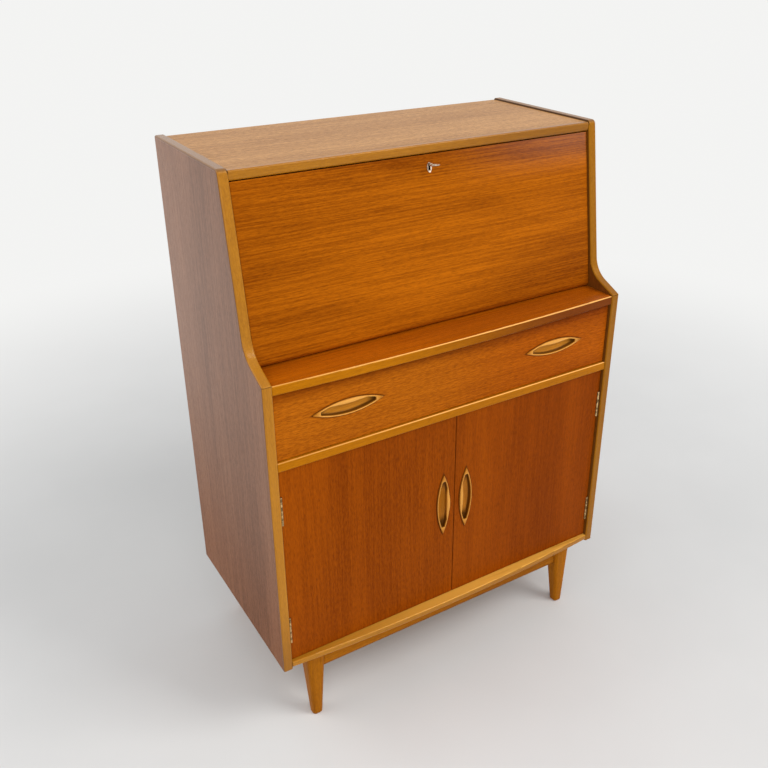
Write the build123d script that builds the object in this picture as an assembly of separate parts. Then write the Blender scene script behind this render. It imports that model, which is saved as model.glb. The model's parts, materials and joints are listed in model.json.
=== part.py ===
from build123d import *
import os
from math import cos, radians, sin, tan

# Overall sizes, millimetres, standing on Z = 0 with the front facing -Y
WIDTH = 760.0
CARCASE_DEPTH = 406.0
HEIGHT = 1071.0
SIDE_BOTTOM = 158.5

# Boards of the carcase
SIDE_THICK = 18.0
BOARD_THICK = 18.0
TOP_THICK = 17.0
BOTTOM_THICK = 12.0
BOTTOM_RAISE = 3.0
BACK_THICK = 5.0
BACK_SETIN = 2.0
BACK_REBATE = 8.0

# Heights that set the compartments
LEDGE_HEIGHT = 750.0
DRAWER_OPENING = 125.5
TOP_DROP = 3.2

# Shaped front edge of the sides
SIDE_TOP_SETBACK = 110.6
TILT = 8.9
SHOULDER_SLOPE = 24.0
NOSE_RISE = 2.2
NOSE_RADIUS = 3.5
HOLLOW_RADIUS = 50.0
TOP_CORNER_RADIUS = 9.0

# Solid wood lippings and rails
SIDE_LIPPING = 4.0
LIPPING_ROUND = 3.4
TOP_LIPPING = 8.0
TOP_LIPPING_SETBACK = 0.2
TOP_LIPPING_ROUND = 5.0
RAIL_DEPTH = 9.0
RAIL_SETBACK = 1.6
RAIL_ROUND = 3.0
BOW = 15.0
LEDGE_BOW = 10.0
BOW_RAIL_BACK = 24.0

# Fall and its pivots
FALL_THICK = 18.0
FALL_SETBACK = 6.0
FALL_SIDE_GAP = 1.5
FALL_TOP_GAP = 1.3
FALL_LEDGE_GAP = 0.5
FALL_FLOOR_GAP = 1.0
PIVOT_RADIUS = 3.0
PIVOT_IN_FALL = 25.0
BUSH_RADIUS = 5.0
BUSH_LENGTH = 9.0
RUNNING_FIT = 0.05
STOP_SIZE = (12.0, 16.0, 40.0)
STOP_FROM_TOP = 60.0
STOP_GAP = 0.5

# Lock, bolt, key and escutcheon
LOCK_SIZE = (44.0, 9.0, 32.0)
LOCK_WALL = 1.5
KEY_BACKSET = 17.7
KEY_RADIUS = 1.75
KEY_REACH = 9.5
KEY_BIT = (5.8, 4.0, 1.8)
BOW_SIZE = (17.0, 18.0, 2.4)
BOW_HOLE = (9.0, 9.5)
CHAMBER_RADIUS = 6.6
BOLT_SIZE = (14.0, 4.0, 10.2)
BOLT_THROW = 6.0
BOLT_GAP = 0.3
KEEPER_SIZE = (34.0, 11.0, 1.2)
ESCUTCHEON_SIZE = (12.0, 18.0, 1.2)
KEYHOLE_RADIUS = 2.6
KEYHOLE_SLOT = (3.0, 9.5)
KEYHOLE_ABOVE_CENTRE = 4.5

# Desk interior
FITTING_THICK = 9.0
FITTING_FRONT = 200.0
PIGEONHOLE_HEIGHT = 140.0
PIGEONHOLES = 4

# Drawer and doors
FRONT_SETBACK = 7.0
FRONT_THICK = 18.0
DRAWER_SIDE_GAP = 1.5
DRAWER_GAP = 1.2
DRAWER_BOX_GAP = 4.0
DRAWER_WALL = 12.0
DRAWER_BOX_HEIGHT = 100.0
DRAWER_REAR_GAP = 34.0
DRAWER_BOX_RAISE = 6.0
DRAWER_BOTTOM_THICK = 5.0
DRAWER_BOTTOM_RAISE = 8.0
RUNNER_WIDTH = 10.0
RUNNER_HEIGHT = 14.0
RUNNER_FROM_FRONT = 20.0
RUNNER_REAR_GAP = 54.0
RUNNER_GAP = 0.4
DOOR_GAP = 1.5
DOOR_HINGE_GAP = 2.0
DOOR_SEAM = 2.0
STRIP_SIZE = (14.0, 12.0)
STRIP_END = 20.0

# Lens-shaped pulls
PULL_LENGTH = 135.0
PULL_WIDTH = 28.0
PULL_RIM = 2.6
PULL_END_RIM = 12.0
PULL_POCKET = 12.0
PULL_FLOOR = 2.5
PULL_PROUD = 3.0
GRIP_PROUD = 4.5
GRIP_LENGTH = 66.0
GRIP_WIDTH = 7.5
GRIP_LIP = 2.0
DRAWER_PULL_INSET = 135.5
DRAWER_PULL_RAISE = 5.0
DOOR_PULL_OFFSET = 26.0
DOOR_PULL_RAISE = 17.0

# Door hinges
HINGE_LENGTH = 57.0
HINGE_TOP_INSET = 50.0
HINGE_BOTTOM_INSET = 42.0
KNUCKLE_RADIUS = 2.3
KNUCKLE_FORWARD = 0.5
KNUCKLE_GAP = 0.3
KNUCKLE_CLEAR = 0.4
HINGE_PIN_RADIUS = 1.25
LEAF_THICK = 1.0
LEAF_DEPTH = 16.0

# Cupboard shelf
SHELF_THICK = 15.0
SHELF_FRONT = 40.0
SHELF_GAP = 1.0
PEG_RADIUS = 2.5
PEG_IN_SIDE = 8.0
PEG_OUT = 10.0
PEG_INSET = 45.0

# Underframe
LEG_TOP = 39.5
LEG_FOOT = 20.5
LEG_SIDE_INSET = 52.7
LEG_FRONT_INSET = 12.4
FOOT_OUT_TAPER = 7.4
FOOT_FRONT_TAPER = 1.3
LEG_ROUND = 7.0
FOOT_CHAMFER = 1.5
APRON_THICK = 20.0
APRON_HEIGHT = 47.5
APRON_SETBACK = 7.0

# Screws that hold the back
SCREW_RADIUS = 1.25
SCREW_LENGTH = 16.0
SCREW_HEAD_RADIUS = 3.0
SCREW_HEAD_HEIGHT = 1.4
SCREW_PITCH = 230.0

# Positions that follow from the sizes
FRONT = BOW - (CARCASE_DEPTH + BOW) / 2
BACK = FRONT + CARCASE_DEPTH
BACK_FACE = BACK - BACK_SETIN - BACK_THICK
INNER = WIDTH / 2 - SIDE_THICK
TOP_UPPER = HEIGHT - TOP_DROP
TOP_UNDER = TOP_UPPER - TOP_THICK
LEDGE_UNDER = LEDGE_HEIGHT - BOARD_THICK
DIVIDER_TOP = LEDGE_UNDER - DRAWER_OPENING
DIVIDER_UNDER = DIVIDER_TOP - BOARD_THICK
BOTTOM_UNDER = SIDE_BOTTOM + BOTTOM_RAISE
BOTTOM_TOP = BOTTOM_UNDER + BOTTOM_THICK
NOSE_HEIGHT = LEDGE_HEIGHT + NOSE_RISE
TILT_COS = cos(radians(TILT))
TILT_SIN = sin(radians(TILT))
TILT_TAN = tan(radians(TILT))
HALF_FALL = FALL_THICK / 2
PIVOT_Z = LEDGE_HEIGHT + FALL_LEDGE_GAP + HALF_FALL
SLOPE_AT_PIVOT = SIDE_TOP_SETBACK - (HEIGHT - PIVOT_Z) * TILT_TAN
PIVOT_Y = FRONT + SLOPE_AT_PIVOT + (FALL_SETBACK + HALF_FALL) / TILT_COS
FALL_LENGTH = (TOP_UNDER - FALL_TOP_GAP - PIVOT_Z - HALF_FALL * TILT_SIN) / TILT_COS
FALL_FRAME = Pos(0, PIVOT_Y, PIVOT_Z) * Rot(-TILT, 0, 0)
FLOOR_TOP = PIVOT_Z + HALF_FALL
FLOOR_FRONT = PIVOT_Y + HALF_FALL / TILT_COS + HALF_FALL * TILT_TAN + FALL_FLOOR_GAP
FACE = FRONT + FRONT_SETBACK
FRONT_REAR = FACE + FRONT_THICK
FITTING_Y = FRONT + FITTING_FRONT
KEY_Z = FALL_LENGTH - KEY_BACKSET


def block(x_span, y_span, z_span):
    # Box given by its limits along each axis
    spans = (x_span, y_span, z_span)
    size = [high - low for low, high in spans]
    middle = [(high + low) / 2 for low, high in spans]
    return Pos(*middle) * Box(*size)


def rod_x(radius, x_span, y, z):
    length = x_span[1] - x_span[0]
    return Pos((x_span[0] + x_span[1]) / 2, y, z) * Rot(0, 90, 0) * Cylinder(radius, length)


def rod_y(radius, x, y_span, z):
    length = y_span[1] - y_span[0]
    return Pos(x, (y_span[0] + y_span[1]) / 2, z) * Rot(90, 0, 0) * Cylinder(radius, length)


def rod_z(radius, x, y, z_span):
    length = z_span[1] - z_span[0]
    return Pos(x, y, (z_span[0] + z_span[1]) / 2) * Cylinder(radius, length)


def both_sides(shape):
    return shape + mirror(shape, about=Plane.YZ)


def save(name, shape):
    export_step(shape, "parts/" + name + ".step")


def round_corner(sketch, point, radius):
    # Round the corner of a flat outline that lies nearest to a point
    corner = sketch.vertices().sort_by_distance((point[0], point[1], 0))[0]
    return fillet(corner, radius)


def side_outline(inset):
    # Outline of a side seen along X, with its front and top edges moved in
    shoulder = tan(radians(SHOULDER_SLOPE))
    drop = inset / cos(radians(SHOULDER_SLOPE))
    line_start = SIDE_TOP_SETBACK - HEIGHT * TILT_TAN + inset / TILT_COS
    valley_y = (line_start + TILT_TAN * (NOSE_HEIGHT - drop)) / (1 - TILT_TAN * shoulder)
    top = HEIGHT - inset
    nose = (FRONT + inset, NOSE_HEIGHT + inset * shoulder - drop)
    valley = (FRONT + valley_y, NOSE_HEIGHT + valley_y * shoulder - drop)
    crown = (FRONT + line_start + TILT_TAN * top, top)
    corners = [(FRONT + inset, SIDE_BOTTOM), nose, valley, crown, (BACK, top), (BACK, SIDE_BOTTOM)]
    outline = make_face(Polyline(*corners, close=True))
    outline = round_corner(outline, valley, HOLLOW_RADIUS + inset)
    outline = round_corner(outline, crown, TOP_CORNER_RADIUS - inset)
    if inset < NOSE_RADIUS:
        outline = round_corner(outline, nose, NOSE_RADIUS - inset)
    return outline


def lens(length, width, height):
    # Upright prism on a lens-shaped plan with pointed ends
    upper = ThreePointArc((-length / 2, 0), (0, width / 2), (length / 2, 0))
    lower = ThreePointArc((length / 2, 0), (0, -width / 2), (-length / 2, 0))
    return extrude(make_face(upper + lower), height)


def make_pull():
    # Pull lying on its face plane, finger grip over an undercut towards +Y, outwards along +Z
    body = Pos(0, 0, -PULL_POCKET) * lens(PULL_LENGTH, PULL_WIDTH, PULL_POCKET + PULL_PROUD)
    rise = ThreePointArc((-GRIP_LENGTH / 2, 0), (0, GRIP_PROUD), (GRIP_LENGTH / 2, 0))
    arch = make_face(rise + Line((GRIP_LENGTH / 2, 0), (-GRIP_LENGTH / 2, 0)))
    ridge = Pos(0, PULL_WIDTH / 2, 0) * extrude(Plane.XZ * arch, PULL_WIDTH / 2)
    grip = ridge & lens(PULL_LENGTH, PULL_WIDTH, GRIP_PROUD)
    recess_width = PULL_WIDTH - 2 * PULL_RIM
    recess = lens(PULL_LENGTH - 2 * PULL_END_RIM, recess_width, PULL_POCKET + GRIP_PROUD)
    hollow = Pos(0, 0, PULL_FLOOR - PULL_POCKET) * recess
    lip = Pos(0, PULL_WIDTH / 2, -GRIP_LIP) * lens(GRIP_LENGTH, 2 * GRIP_WIDTH, GRIP_LIP + GRIP_PROUD)
    return body + grip - (hollow - lip)


def bowed_rail(front, back, bow, z_span):
    # Rail between the sides whose front swells forwards in plan
    swell = ThreePointArc((-INNER, front), (0, front - bow), (INNER, front))
    ends = Polyline((INNER, front), (INNER, back), (-INNER, back), (-INNER, front))
    rail = Pos(0, 0, z_span[0]) * extrude(make_face(swell + ends), z_span[1] - z_span[0])
    return fillet(rail.edges().filter_by(GeomType.CIRCLE), RAIL_ROUND)


def make_leg():
    # Tapered leg at the front right corner
    outer = WIDTH / 2 - LEG_SIDE_INSET
    front = FRONT + LEG_FRONT_INSET
    top_x = outer - LEG_TOP / 2
    top_y = front + LEG_TOP / 2
    foot_x = outer - FOOT_OUT_TAPER - LEG_FOOT / 2
    foot_y = front + FOOT_FRONT_TAPER + LEG_FOOT / 2
    foot = Pos(foot_x, foot_y, 0) * Rectangle(LEG_FOOT, LEG_FOOT)
    head = Pos(top_x, top_y, BOTTOM_UNDER) * Rectangle(LEG_TOP, LEG_TOP)
    leg = loft([foot.face(), head.face()], ruled=True)
    long_edges = leg.edges().filter_by(lambda edge: abs((edge @ 1).Z - (edge @ 0).Z) > LEG_TOP)
    leg = fillet(long_edges, LEG_ROUND)
    return chamfer(leg.edges().group_by(Axis.Z)[0], FOOT_CHAMFER)


os.makedirs("parts", exist_ok=True)

# Screws through the back into the boards and sides
screw_rows = [LEDGE_UNDER + BOARD_THICK / 2, DIVIDER_UNDER + BOARD_THICK / 2]
screw_rows = screw_rows + [BOTTOM_UNDER + BOTTOM_THICK / 2]
screw_spots = [(step * SCREW_PITCH, row) for row in screw_rows for step in (-1, 0, 1)]
edge_rise = (TOP_UNDER - SIDE_BOTTOM) / 5
for count in (1, 2, 3, 4):
    for hand in (-1, 1):
        screw_spots.append((hand * (INNER + BACK_REBATE / 2), SIDE_BOTTOM + count * edge_rise))
BACK_OUTER = BACK - BACK_SETIN
screw_shanks = [rod_y(SCREW_RADIUS, x, (BACK_OUTER - SCREW_LENGTH, BACK_OUTER), z) for x, z in screw_spots]
screw_heads = []
for x, z in screw_spots:
    screw_heads.append(rod_y(SCREW_HEAD_RADIUS, x, (BACK_OUTER, BACK_OUTER + SCREW_HEAD_HEIGHT), z))
back_screws = Part() + [shank + head for shank, head in zip(screw_shanks, screw_heads)]
save("back_screws", back_screws)

# Sides with the rebate for the back, peg holes and pivot bush seats
shelf_under = (BOTTOM_TOP + DIVIDER_UNDER - SHELF_THICK) / 2
peg_rows = (FRONT + SHELF_FRONT + PEG_INSET, BACK_FACE - PEG_INSET)
peg_z = shelf_under - PEG_RADIUS
pegs = [rod_x(PEG_RADIUS, (INNER - PEG_OUT, INNER + PEG_IN_SIDE), row, peg_z) for row in peg_rows]
bush_seat = rod_x(BUSH_RADIUS, (INNER, INNER + BUSH_LENGTH), PIVOT_Y, PIVOT_Z)
plain_side = Pos(INNER, 0, 0) * extrude(Plane.YZ * side_outline(SIDE_LIPPING), SIDE_THICK)
rebate = block((INNER, INNER + BACK_REBATE), (BACK_FACE, BACK), (SIDE_BOTTOM, TOP_UNDER))
right_side = plain_side - rebate - bush_seat - pegs - screw_shanks
save("right_side_panel", right_side)
save("left_side_panel", mirror(right_side, about=Plane.YZ))

# Lippings along the front and top edges of the sides
strip = Pos(INNER, 0, 0) * extrude(Plane.YZ * side_outline(0), SIDE_THICK) - plain_side


def is_outer_edge(edge):
    flat = abs((edge @ 0).X - (edge @ 1).X) < 0.001
    return flat and plain_side.distance_to(edge @ 0.5) > 0.9 * SIDE_LIPPING


right_lipping = fillet(strip.edges().filter_by(is_outer_edge), LIPPING_ROUND)
save("right_side_lipping", right_lipping)
save("left_side_lipping", mirror(right_lipping, about=Plane.YZ))

# Top board with the bolt mortise and keeper, and its rounded front lipping
top_front = FRONT + SIDE_TOP_SETBACK + TOP_LIPPING_SETBACK
lipping_back = top_front + TOP_LIPPING
bolt_middle = HALF_FALL - LOCK_SIZE[1] / 2
bolt_half_x = BOLT_SIZE[0] / 2 + BOLT_GAP
bolt_half_y = BOLT_SIZE[1] / 2 + BOLT_GAP
mortise_x = (-bolt_half_x, bolt_half_x)
mortise_y = (bolt_middle - bolt_half_y, bolt_middle + bolt_half_y)
mortise_z = (FALL_LENGTH - BOLT_THROW, FALL_LENGTH + BOLT_THROW + BOLT_GAP)
mortise = FALL_FRAME * block(mortise_x, mortise_y, mortise_z)
keeper_middle = PIVOT_Y + bolt_middle * TILT_COS + (TOP_UNDER - PIVOT_Z) * TILT_TAN
keeper_x = (-KEEPER_SIZE[0] / 2, KEEPER_SIZE[0] / 2)
keeper_y = (keeper_middle - KEEPER_SIZE[1] / 2, keeper_middle + KEEPER_SIZE[1] / 2)
keeper = block(keeper_x, keeper_y, (TOP_UNDER, TOP_UNDER + KEEPER_SIZE[2]))
top_panel = block((-INNER, INNER), (lipping_back, BACK), (TOP_UNDER, TOP_UPPER)) - keeper - mortise
save("top_panel", top_panel)
save("keeper_plate", keeper - mortise)
top_lipping = block((-INNER, INNER), (top_front, lipping_back), (TOP_UNDER, TOP_UPPER))
front_edges = top_lipping.edges().filter_by(Axis.X).group_by(Axis.Y)[0].sort_by(Axis.Z)
top_lipping = fillet(front_edges[0], TOP_LIPPING_ROUND)
front_edges = top_lipping.edges().filter_by(Axis.X).group_by(Axis.Z)[-1].sort_by(Axis.Y)
top_lipping = fillet(front_edges[0], RAIL_ROUND)
save("top_lipping", top_lipping)

# Back panel in the rebates
back_x = (-INNER - BACK_REBATE, INNER + BACK_REBATE)
back_panel = block(back_x, (BACK_FACE, BACK_OUTER), (BOTTOM_UNDER, TOP_UNDER)) - screw_shanks
save("back_panel", back_panel)

# Ledge board and drawer divider, one with a bowed and one with a straight rail along its front
rail_front = FRONT + RAIL_SETBACK
rail_back = rail_front + RAIL_DEPTH
for name, low, high in (("ledge", LEDGE_UNDER, LEDGE_HEIGHT), ("divider", DIVIDER_UNDER, DIVIDER_TOP)):
    board = block((-INNER, INNER), (rail_back, BACK_FACE), (low, high)) - screw_shanks
    save(name + "_board", board)
save("ledge_rail", bowed_rail(rail_front, rail_back, LEDGE_BOW, (LEDGE_UNDER, LEDGE_HEIGHT)))
divider_rail = block((-INNER, INNER), (rail_front, rail_back), (DIVIDER_UNDER, DIVIDER_TOP))
divider_edges = divider_rail.edges().filter_by(Axis.X).group_by(Axis.Y)[0]
save("divider_rail", fillet(divider_edges, RAIL_ROUND))

# Bottom board and the bowed rail in front of it
bow_back = FRONT + BOW_RAIL_BACK
bottom_board = block((-INNER, INNER), (bow_back, BACK_FACE), (BOTTOM_UNDER, BOTTOM_TOP)) - screw_shanks
save("bottom_board", bottom_board)
save("bottom_rail", bowed_rail(FRONT, bow_back, BOW, (BOTTOM_UNDER, BOTTOM_TOP)))

# Raised floor of the desk, pigeonhole shelf and dividers
desk_floor = block((-INNER, INNER), (FLOOR_FRONT, BACK_FACE), (LEDGE_HEIGHT, FLOOR_TOP))
save("desk_floor", desk_floor)
hole_top = FLOOR_TOP + PIGEONHOLE_HEIGHT
shelf = block((-INNER, INNER), (FITTING_Y, BACK_FACE), (hole_top, hole_top + FITTING_THICK))
save("pigeonhole_shelf", shelf)
for step, name in ((-1, "left"), (0, "middle"), (1, "right")):
    middle = step * 2 * INNER / PIGEONHOLES
    divider_x = (middle - FITTING_THICK / 2, middle + FITTING_THICK / 2)
    save(name + "_pigeonhole_divider", block(divider_x, (FITTING_Y, BACK_FACE), (FLOOR_TOP, hole_top)))

# Stops behind the closed fall and bushes for its pivots
stop_x = (INNER - STOP_SIZE[0], INNER)
stop_y = (HALF_FALL + STOP_GAP, HALF_FALL + STOP_GAP + STOP_SIZE[1])
stop_z = (FALL_LENGTH - STOP_FROM_TOP - STOP_SIZE[2], FALL_LENGTH - STOP_FROM_TOP)
save("fall_stops", both_sides(FALL_FRAME * block(stop_x, stop_y, stop_z)))
bush_bore = rod_x(PIVOT_RADIUS + RUNNING_FIT, (INNER, INNER + BUSH_LENGTH), PIVOT_Y, PIVOT_Z)
save("pivot_bushes", both_sides(bush_seat - bush_bore))

# Fall with rounded lower edge, pivot pins, lock, escutcheon, bolt and key
fall_half = INNER - FALL_SIDE_GAP
pin_end = INNER + BUSH_LENGTH - FALL_SIDE_GAP
pin = rod_x(PIVOT_RADIUS, (fall_half - PIVOT_IN_FALL, pin_end), 0, 0)
pins = both_sides(pin)
save("pivot_pins", FALL_FRAME * pins)
lock_x = (-LOCK_SIZE[0] / 2, LOCK_SIZE[0] / 2)
lock_y = (HALF_FALL - LOCK_SIZE[1], HALF_FALL)
lock_seat = block(lock_x, lock_y, (FALL_LENGTH - LOCK_SIZE[2], FALL_LENGTH))
hole_y = (-FALL_THICK, lock_y[0])
slot_x = (-KEYHOLE_SLOT[0] / 2, KEYHOLE_SLOT[0] / 2)
slot = block(slot_x, hole_y, (KEY_Z - KEYHOLE_SLOT[1], KEY_Z))
keyhole = rod_y(KEYHOLE_RADIUS, 0, hole_y, KEY_Z) + slot
fall_panel = block((-fall_half, fall_half), (-HALF_FALL, HALF_FALL), (0, FALL_LENGTH))
fall_panel = fall_panel + rod_x(HALF_FALL, (-fall_half, fall_half), 0, 0)
save("fall_panel", FALL_FRAME * (fall_panel - pins - lock_seat - keyhole))
chamber_y = (lock_y[0] + LOCK_WALL, lock_y[1] - LOCK_WALL)
chamber = rod_y(CHAMBER_RADIUS, 0, chamber_y, KEY_Z)
bearing = rod_y(KEY_RADIUS + RUNNING_FIT, 0, (lock_y[0], chamber_y[0]), KEY_Z)
bolt_top = FALL_LENGTH - BOLT_GAP
bolt_way = block(mortise_x, mortise_y, (bolt_top - BOLT_SIZE[2] - BOLT_GAP, FALL_LENGTH))
save("lock_case", FALL_FRAME * (lock_seat - chamber - bearing - bolt_way))
bolt_x = (-BOLT_SIZE[0] / 2, BOLT_SIZE[0] / 2)
bolt_y = (bolt_middle - BOLT_SIZE[1] / 2, bolt_middle + BOLT_SIZE[1] / 2)
save("lock_bolt", FALL_FRAME * block(bolt_x, bolt_y, (bolt_top - BOLT_SIZE[2], bolt_top)))
plate_z = KEY_Z - KEYHOLE_ABOVE_CENTRE
oval = Ellipse(ESCUTCHEON_SIZE[0] / 2, ESCUTCHEON_SIZE[1] / 2)
plate = Pos(0, -HALF_FALL, plate_z) * extrude(Plane.XZ * oval, ESCUTCHEON_SIZE[2])
save("escutcheon", FALL_FRAME * (plate - keyhole))
key_root = chamber_y[1] - BOLT_GAP
key_tip = -HALF_FALL - KEY_REACH
bow_y = key_tip - BOW_SIZE[1] / 2
ring = Ellipse(BOW_SIZE[0] / 2, BOW_SIZE[1] / 2) - Ellipse(BOW_HOLE[0] / 2, BOW_HOLE[1] / 2)
key_bow = Pos(0, bow_y, KEY_Z - BOW_SIZE[2] / 2) * extrude(ring, BOW_SIZE[2])
neck = (bow_y + BOW_SIZE[1] / 2 - (BOW_SIZE[1] - BOW_HOLE[1]) / 4, key_root)
bit_z = (KEY_Z - KEY_BIT[2] / 2, KEY_Z + KEY_BIT[2] / 2)
key_bit = block((0, KEY_BIT[0]), (key_root - KEY_BIT[1], key_root), bit_z)
save("key", FALL_FRAME * (rod_y(KEY_RADIUS, 0, neck, KEY_Z) + key_bow + key_bit))

# Drawer front with pockets for its pulls
pull = make_pull()
pocket = Pos(0, 0, -PULL_POCKET) * lens(PULL_LENGTH, PULL_WIDTH, PULL_POCKET)
drawer_half = INNER - DRAWER_SIDE_GAP
drawer_z = (DIVIDER_TOP + DRAWER_GAP, LEDGE_UNDER - DRAWER_GAP)
pull_x = drawer_half - DRAWER_PULL_INSET
drawer_middle = (drawer_z[0] + drawer_z[1]) / 2
pull_z = drawer_middle + DRAWER_PULL_RAISE
drawer_front = block((-drawer_half, drawer_half), (FACE, FRONT_REAR), drawer_z)
for hand, name in ((-1, "left"), (1, "right")):
    seat = Plane((hand * pull_x, FACE, pull_z), x_dir=(1, 0, 0), z_dir=(0, -1, 0))
    drawer_front = drawer_front - seat * pocket
    save(name + "_drawer_pull", seat * pull)
save("drawer_front", drawer_front)

# Drawer box on grooved sides, and the runners in the grooves
box_rear = BACK_FACE - DRAWER_REAR_GAP
box_outer = INNER - DRAWER_BOX_GAP
box_inner = box_outer - DRAWER_WALL
box_z = (drawer_z[0] + DRAWER_BOX_RAISE, drawer_z[0] + DRAWER_BOX_RAISE + DRAWER_BOX_HEIGHT)
runner_x = (INNER - RUNNER_WIDTH, INNER)
runner_y = (FRONT_REAR + RUNNER_FROM_FRONT, BACK_FACE - RUNNER_REAR_GAP)
runner_z = (drawer_middle - RUNNER_HEIGHT / 2, drawer_middle + RUNNER_HEIGHT / 2)
groove_y = (runner_y[0] - RUNNER_GAP, box_rear)
groove_z = (runner_z[0] - RUNNER_GAP, runner_z[1] + RUNNER_GAP)
groove = block((runner_x[0] - RUNNER_GAP, box_outer), groove_y, groove_z)
drawer_side = block((box_inner, box_outer), (FRONT_REAR, box_rear), box_z) - groove
save("right_drawer_side", drawer_side)
save("left_drawer_side", mirror(drawer_side, about=Plane.YZ))
save("drawer_runners", both_sides(block(runner_x, runner_y, runner_z)))
floor_low = box_z[0] + DRAWER_BOTTOM_RAISE
floor_high = floor_low + DRAWER_BOTTOM_THICK
back_y = (box_rear - DRAWER_WALL, box_rear)
save("drawer_back", block((-box_inner, box_inner), back_y, (floor_low, box_z[1])))
save("drawer_bottom", block((-box_inner, box_inner), (FRONT_REAR, back_y[0]), (floor_low, floor_high)))

# Doors with hinge notches, pulls, and butt hinges at the sides
door_z = (BOTTOM_TOP + DOOR_GAP, DIVIDER_UNDER - DOOR_GAP)
door_edge = INNER - DOOR_HINGE_GAP
axis_x = INNER - KNUCKLE_GAP - KNUCKLE_RADIUS
axis_y = FACE - KNUCKLE_FORWARD
notch_radius = KNUCKLE_RADIUS + KNUCKLE_CLEAR
leaf_start = axis_y + notch_radius
leaf_y = (leaf_start, leaf_start + LEAF_DEPTH)
upper_hinge = door_z[1] - HINGE_TOP_INSET - HINGE_LENGTH
lower_hinge = door_z[0] + HINGE_BOTTOM_INSET
right_door = block((DOOR_SEAM / 2, door_edge), (FACE, FRONT_REAR), door_z)
case_leaves = Part()
door_leaves = Part()
hinge_pins = Part()
for low in (lower_hinge, upper_hinge):
    high = low + HINGE_LENGTH
    third = HINGE_LENGTH / 3
    span = (low, high)
    middle_span = (low + third, high - third)
    end_spans = ((low, low + third - KNUCKLE_GAP), (high - third + KNUCKLE_GAP, high))
    notch = rod_z(notch_radius, axis_x, axis_y, (low - KNUCKLE_CLEAR, high + KNUCKLE_CLEAR))
    case_leaf = block((INNER - LEAF_THICK, INNER), leaf_y, span)
    for end_span in end_spans:
        case_leaf = case_leaf + rod_z(KNUCKLE_RADIUS, axis_x, axis_y, end_span)
        case_leaf = case_leaf + block((INNER - LEAF_THICK, INNER), (axis_y, leaf_start), end_span)
    case_leaves = case_leaves + (case_leaf - rod_z(HINGE_PIN_RADIUS, axis_x, axis_y, span))
    leaf_plate = block((door_edge - LEAF_THICK, door_edge), leaf_y, span)
    leaf_arm = block((door_edge - LEAF_THICK, door_edge), (axis_y, leaf_start), middle_span)
    door_leaf = leaf_plate + leaf_arm + rod_z(KNUCKLE_RADIUS, axis_x, axis_y, middle_span)
    door_leaf = door_leaf - rod_z(HINGE_PIN_RADIUS + RUNNING_FIT, axis_x, axis_y, span)
    door_leaves = door_leaves + door_leaf
    hinge_pins = hinge_pins + rod_z(HINGE_PIN_RADIUS, axis_x, axis_y, span)
    right_door = right_door - notch - leaf_plate - leaf_arm
door_pull_z = (door_z[0] + door_z[1]) / 2 + DOOR_PULL_RAISE
door_seat = Plane((DOOR_PULL_OFFSET, FACE, door_pull_z), x_dir=(0, 0, 1), z_dir=(0, -1, 0))
right_door = right_door - door_seat * pocket
right_parts = {
    "door_panel": right_door,
    "door_pull": door_seat * pull,
    "hinge_case_leaves": case_leaves,
    "hinge_door_leaves": door_leaves,
    "hinge_pins": hinge_pins,
}
for name, shape in right_parts.items():
    save("right_" + name, shape)
    save("left_" + name, mirror(shape, about=Plane.YZ))

# Strip that stops the doors, cupboard shelf and its pegs
strip_y = (FRONT_REAR + STOP_GAP, FRONT_REAR + STOP_GAP + STRIP_SIZE[0])
strip_x = (-INNER + STRIP_END, INNER - STRIP_END)
save("door_stop_strip", block(strip_x, strip_y, (DIVIDER_UNDER - STRIP_SIZE[1], DIVIDER_UNDER)))
shelf_x = (-INNER + SHELF_GAP, INNER - SHELF_GAP)
shelf_y = (FRONT + SHELF_FRONT, BACK_FACE - SHELF_GAP)
save("cupboard_shelf", block(shelf_x, shelf_y, (shelf_under, shelf_under + SHELF_THICK)))
save("shelf_pegs", both_sides(Part() + pegs))

# Underframe of tapered legs joined by aprons and side rails
right_front_leg = make_leg()
middle_plane = Plane.XZ.offset(-(FRONT + BACK) / 2)
right_rear_leg = mirror(right_front_leg, about=middle_plane)
save("right_front_leg", right_front_leg)
save("right_rear_leg", right_rear_leg)
save("left_front_leg", mirror(right_front_leg, about=Plane.YZ))
save("left_rear_leg", mirror(right_rear_leg, about=Plane.YZ))
frame_z = (BOTTOM_UNDER - APRON_HEIGHT, BOTTOM_UNDER)
leg_x = WIDTH / 2 - LEG_SIDE_INSET - LEG_TOP / 2
leg_y = FRONT + LEG_FRONT_INSET + LEG_TOP / 2
apron_front = FRONT + LEG_FRONT_INSET + APRON_SETBACK
apron = block((-leg_x, leg_x), (apron_front, apron_front + APRON_THICK), frame_z)
apron = apron - right_front_leg - mirror(right_front_leg, about=Plane.YZ)
save("front_apron", apron)
save("rear_apron", mirror(apron, about=middle_plane))
rail_outer = WIDTH / 2 - LEG_SIDE_INSET - APRON_SETBACK
frame_rail = block((rail_outer - APRON_THICK, rail_outer), (leg_y, FRONT + BACK - leg_y), frame_z)
frame_rail = frame_rail - right_front_leg - right_rear_leg
save("right_frame_rail", frame_rail)
save("left_frame_rail", mirror(frame_rail, about=Plane.YZ))
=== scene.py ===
"""Looks of a slim veneered secretary desk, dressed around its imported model."""

import json
import math
from collections import namedtuple
from functools import partial

import bpy
from bpy.props import FloatProperty, FloatVectorProperty, PointerProperty
from mathutils import Matrix, Vector


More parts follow.
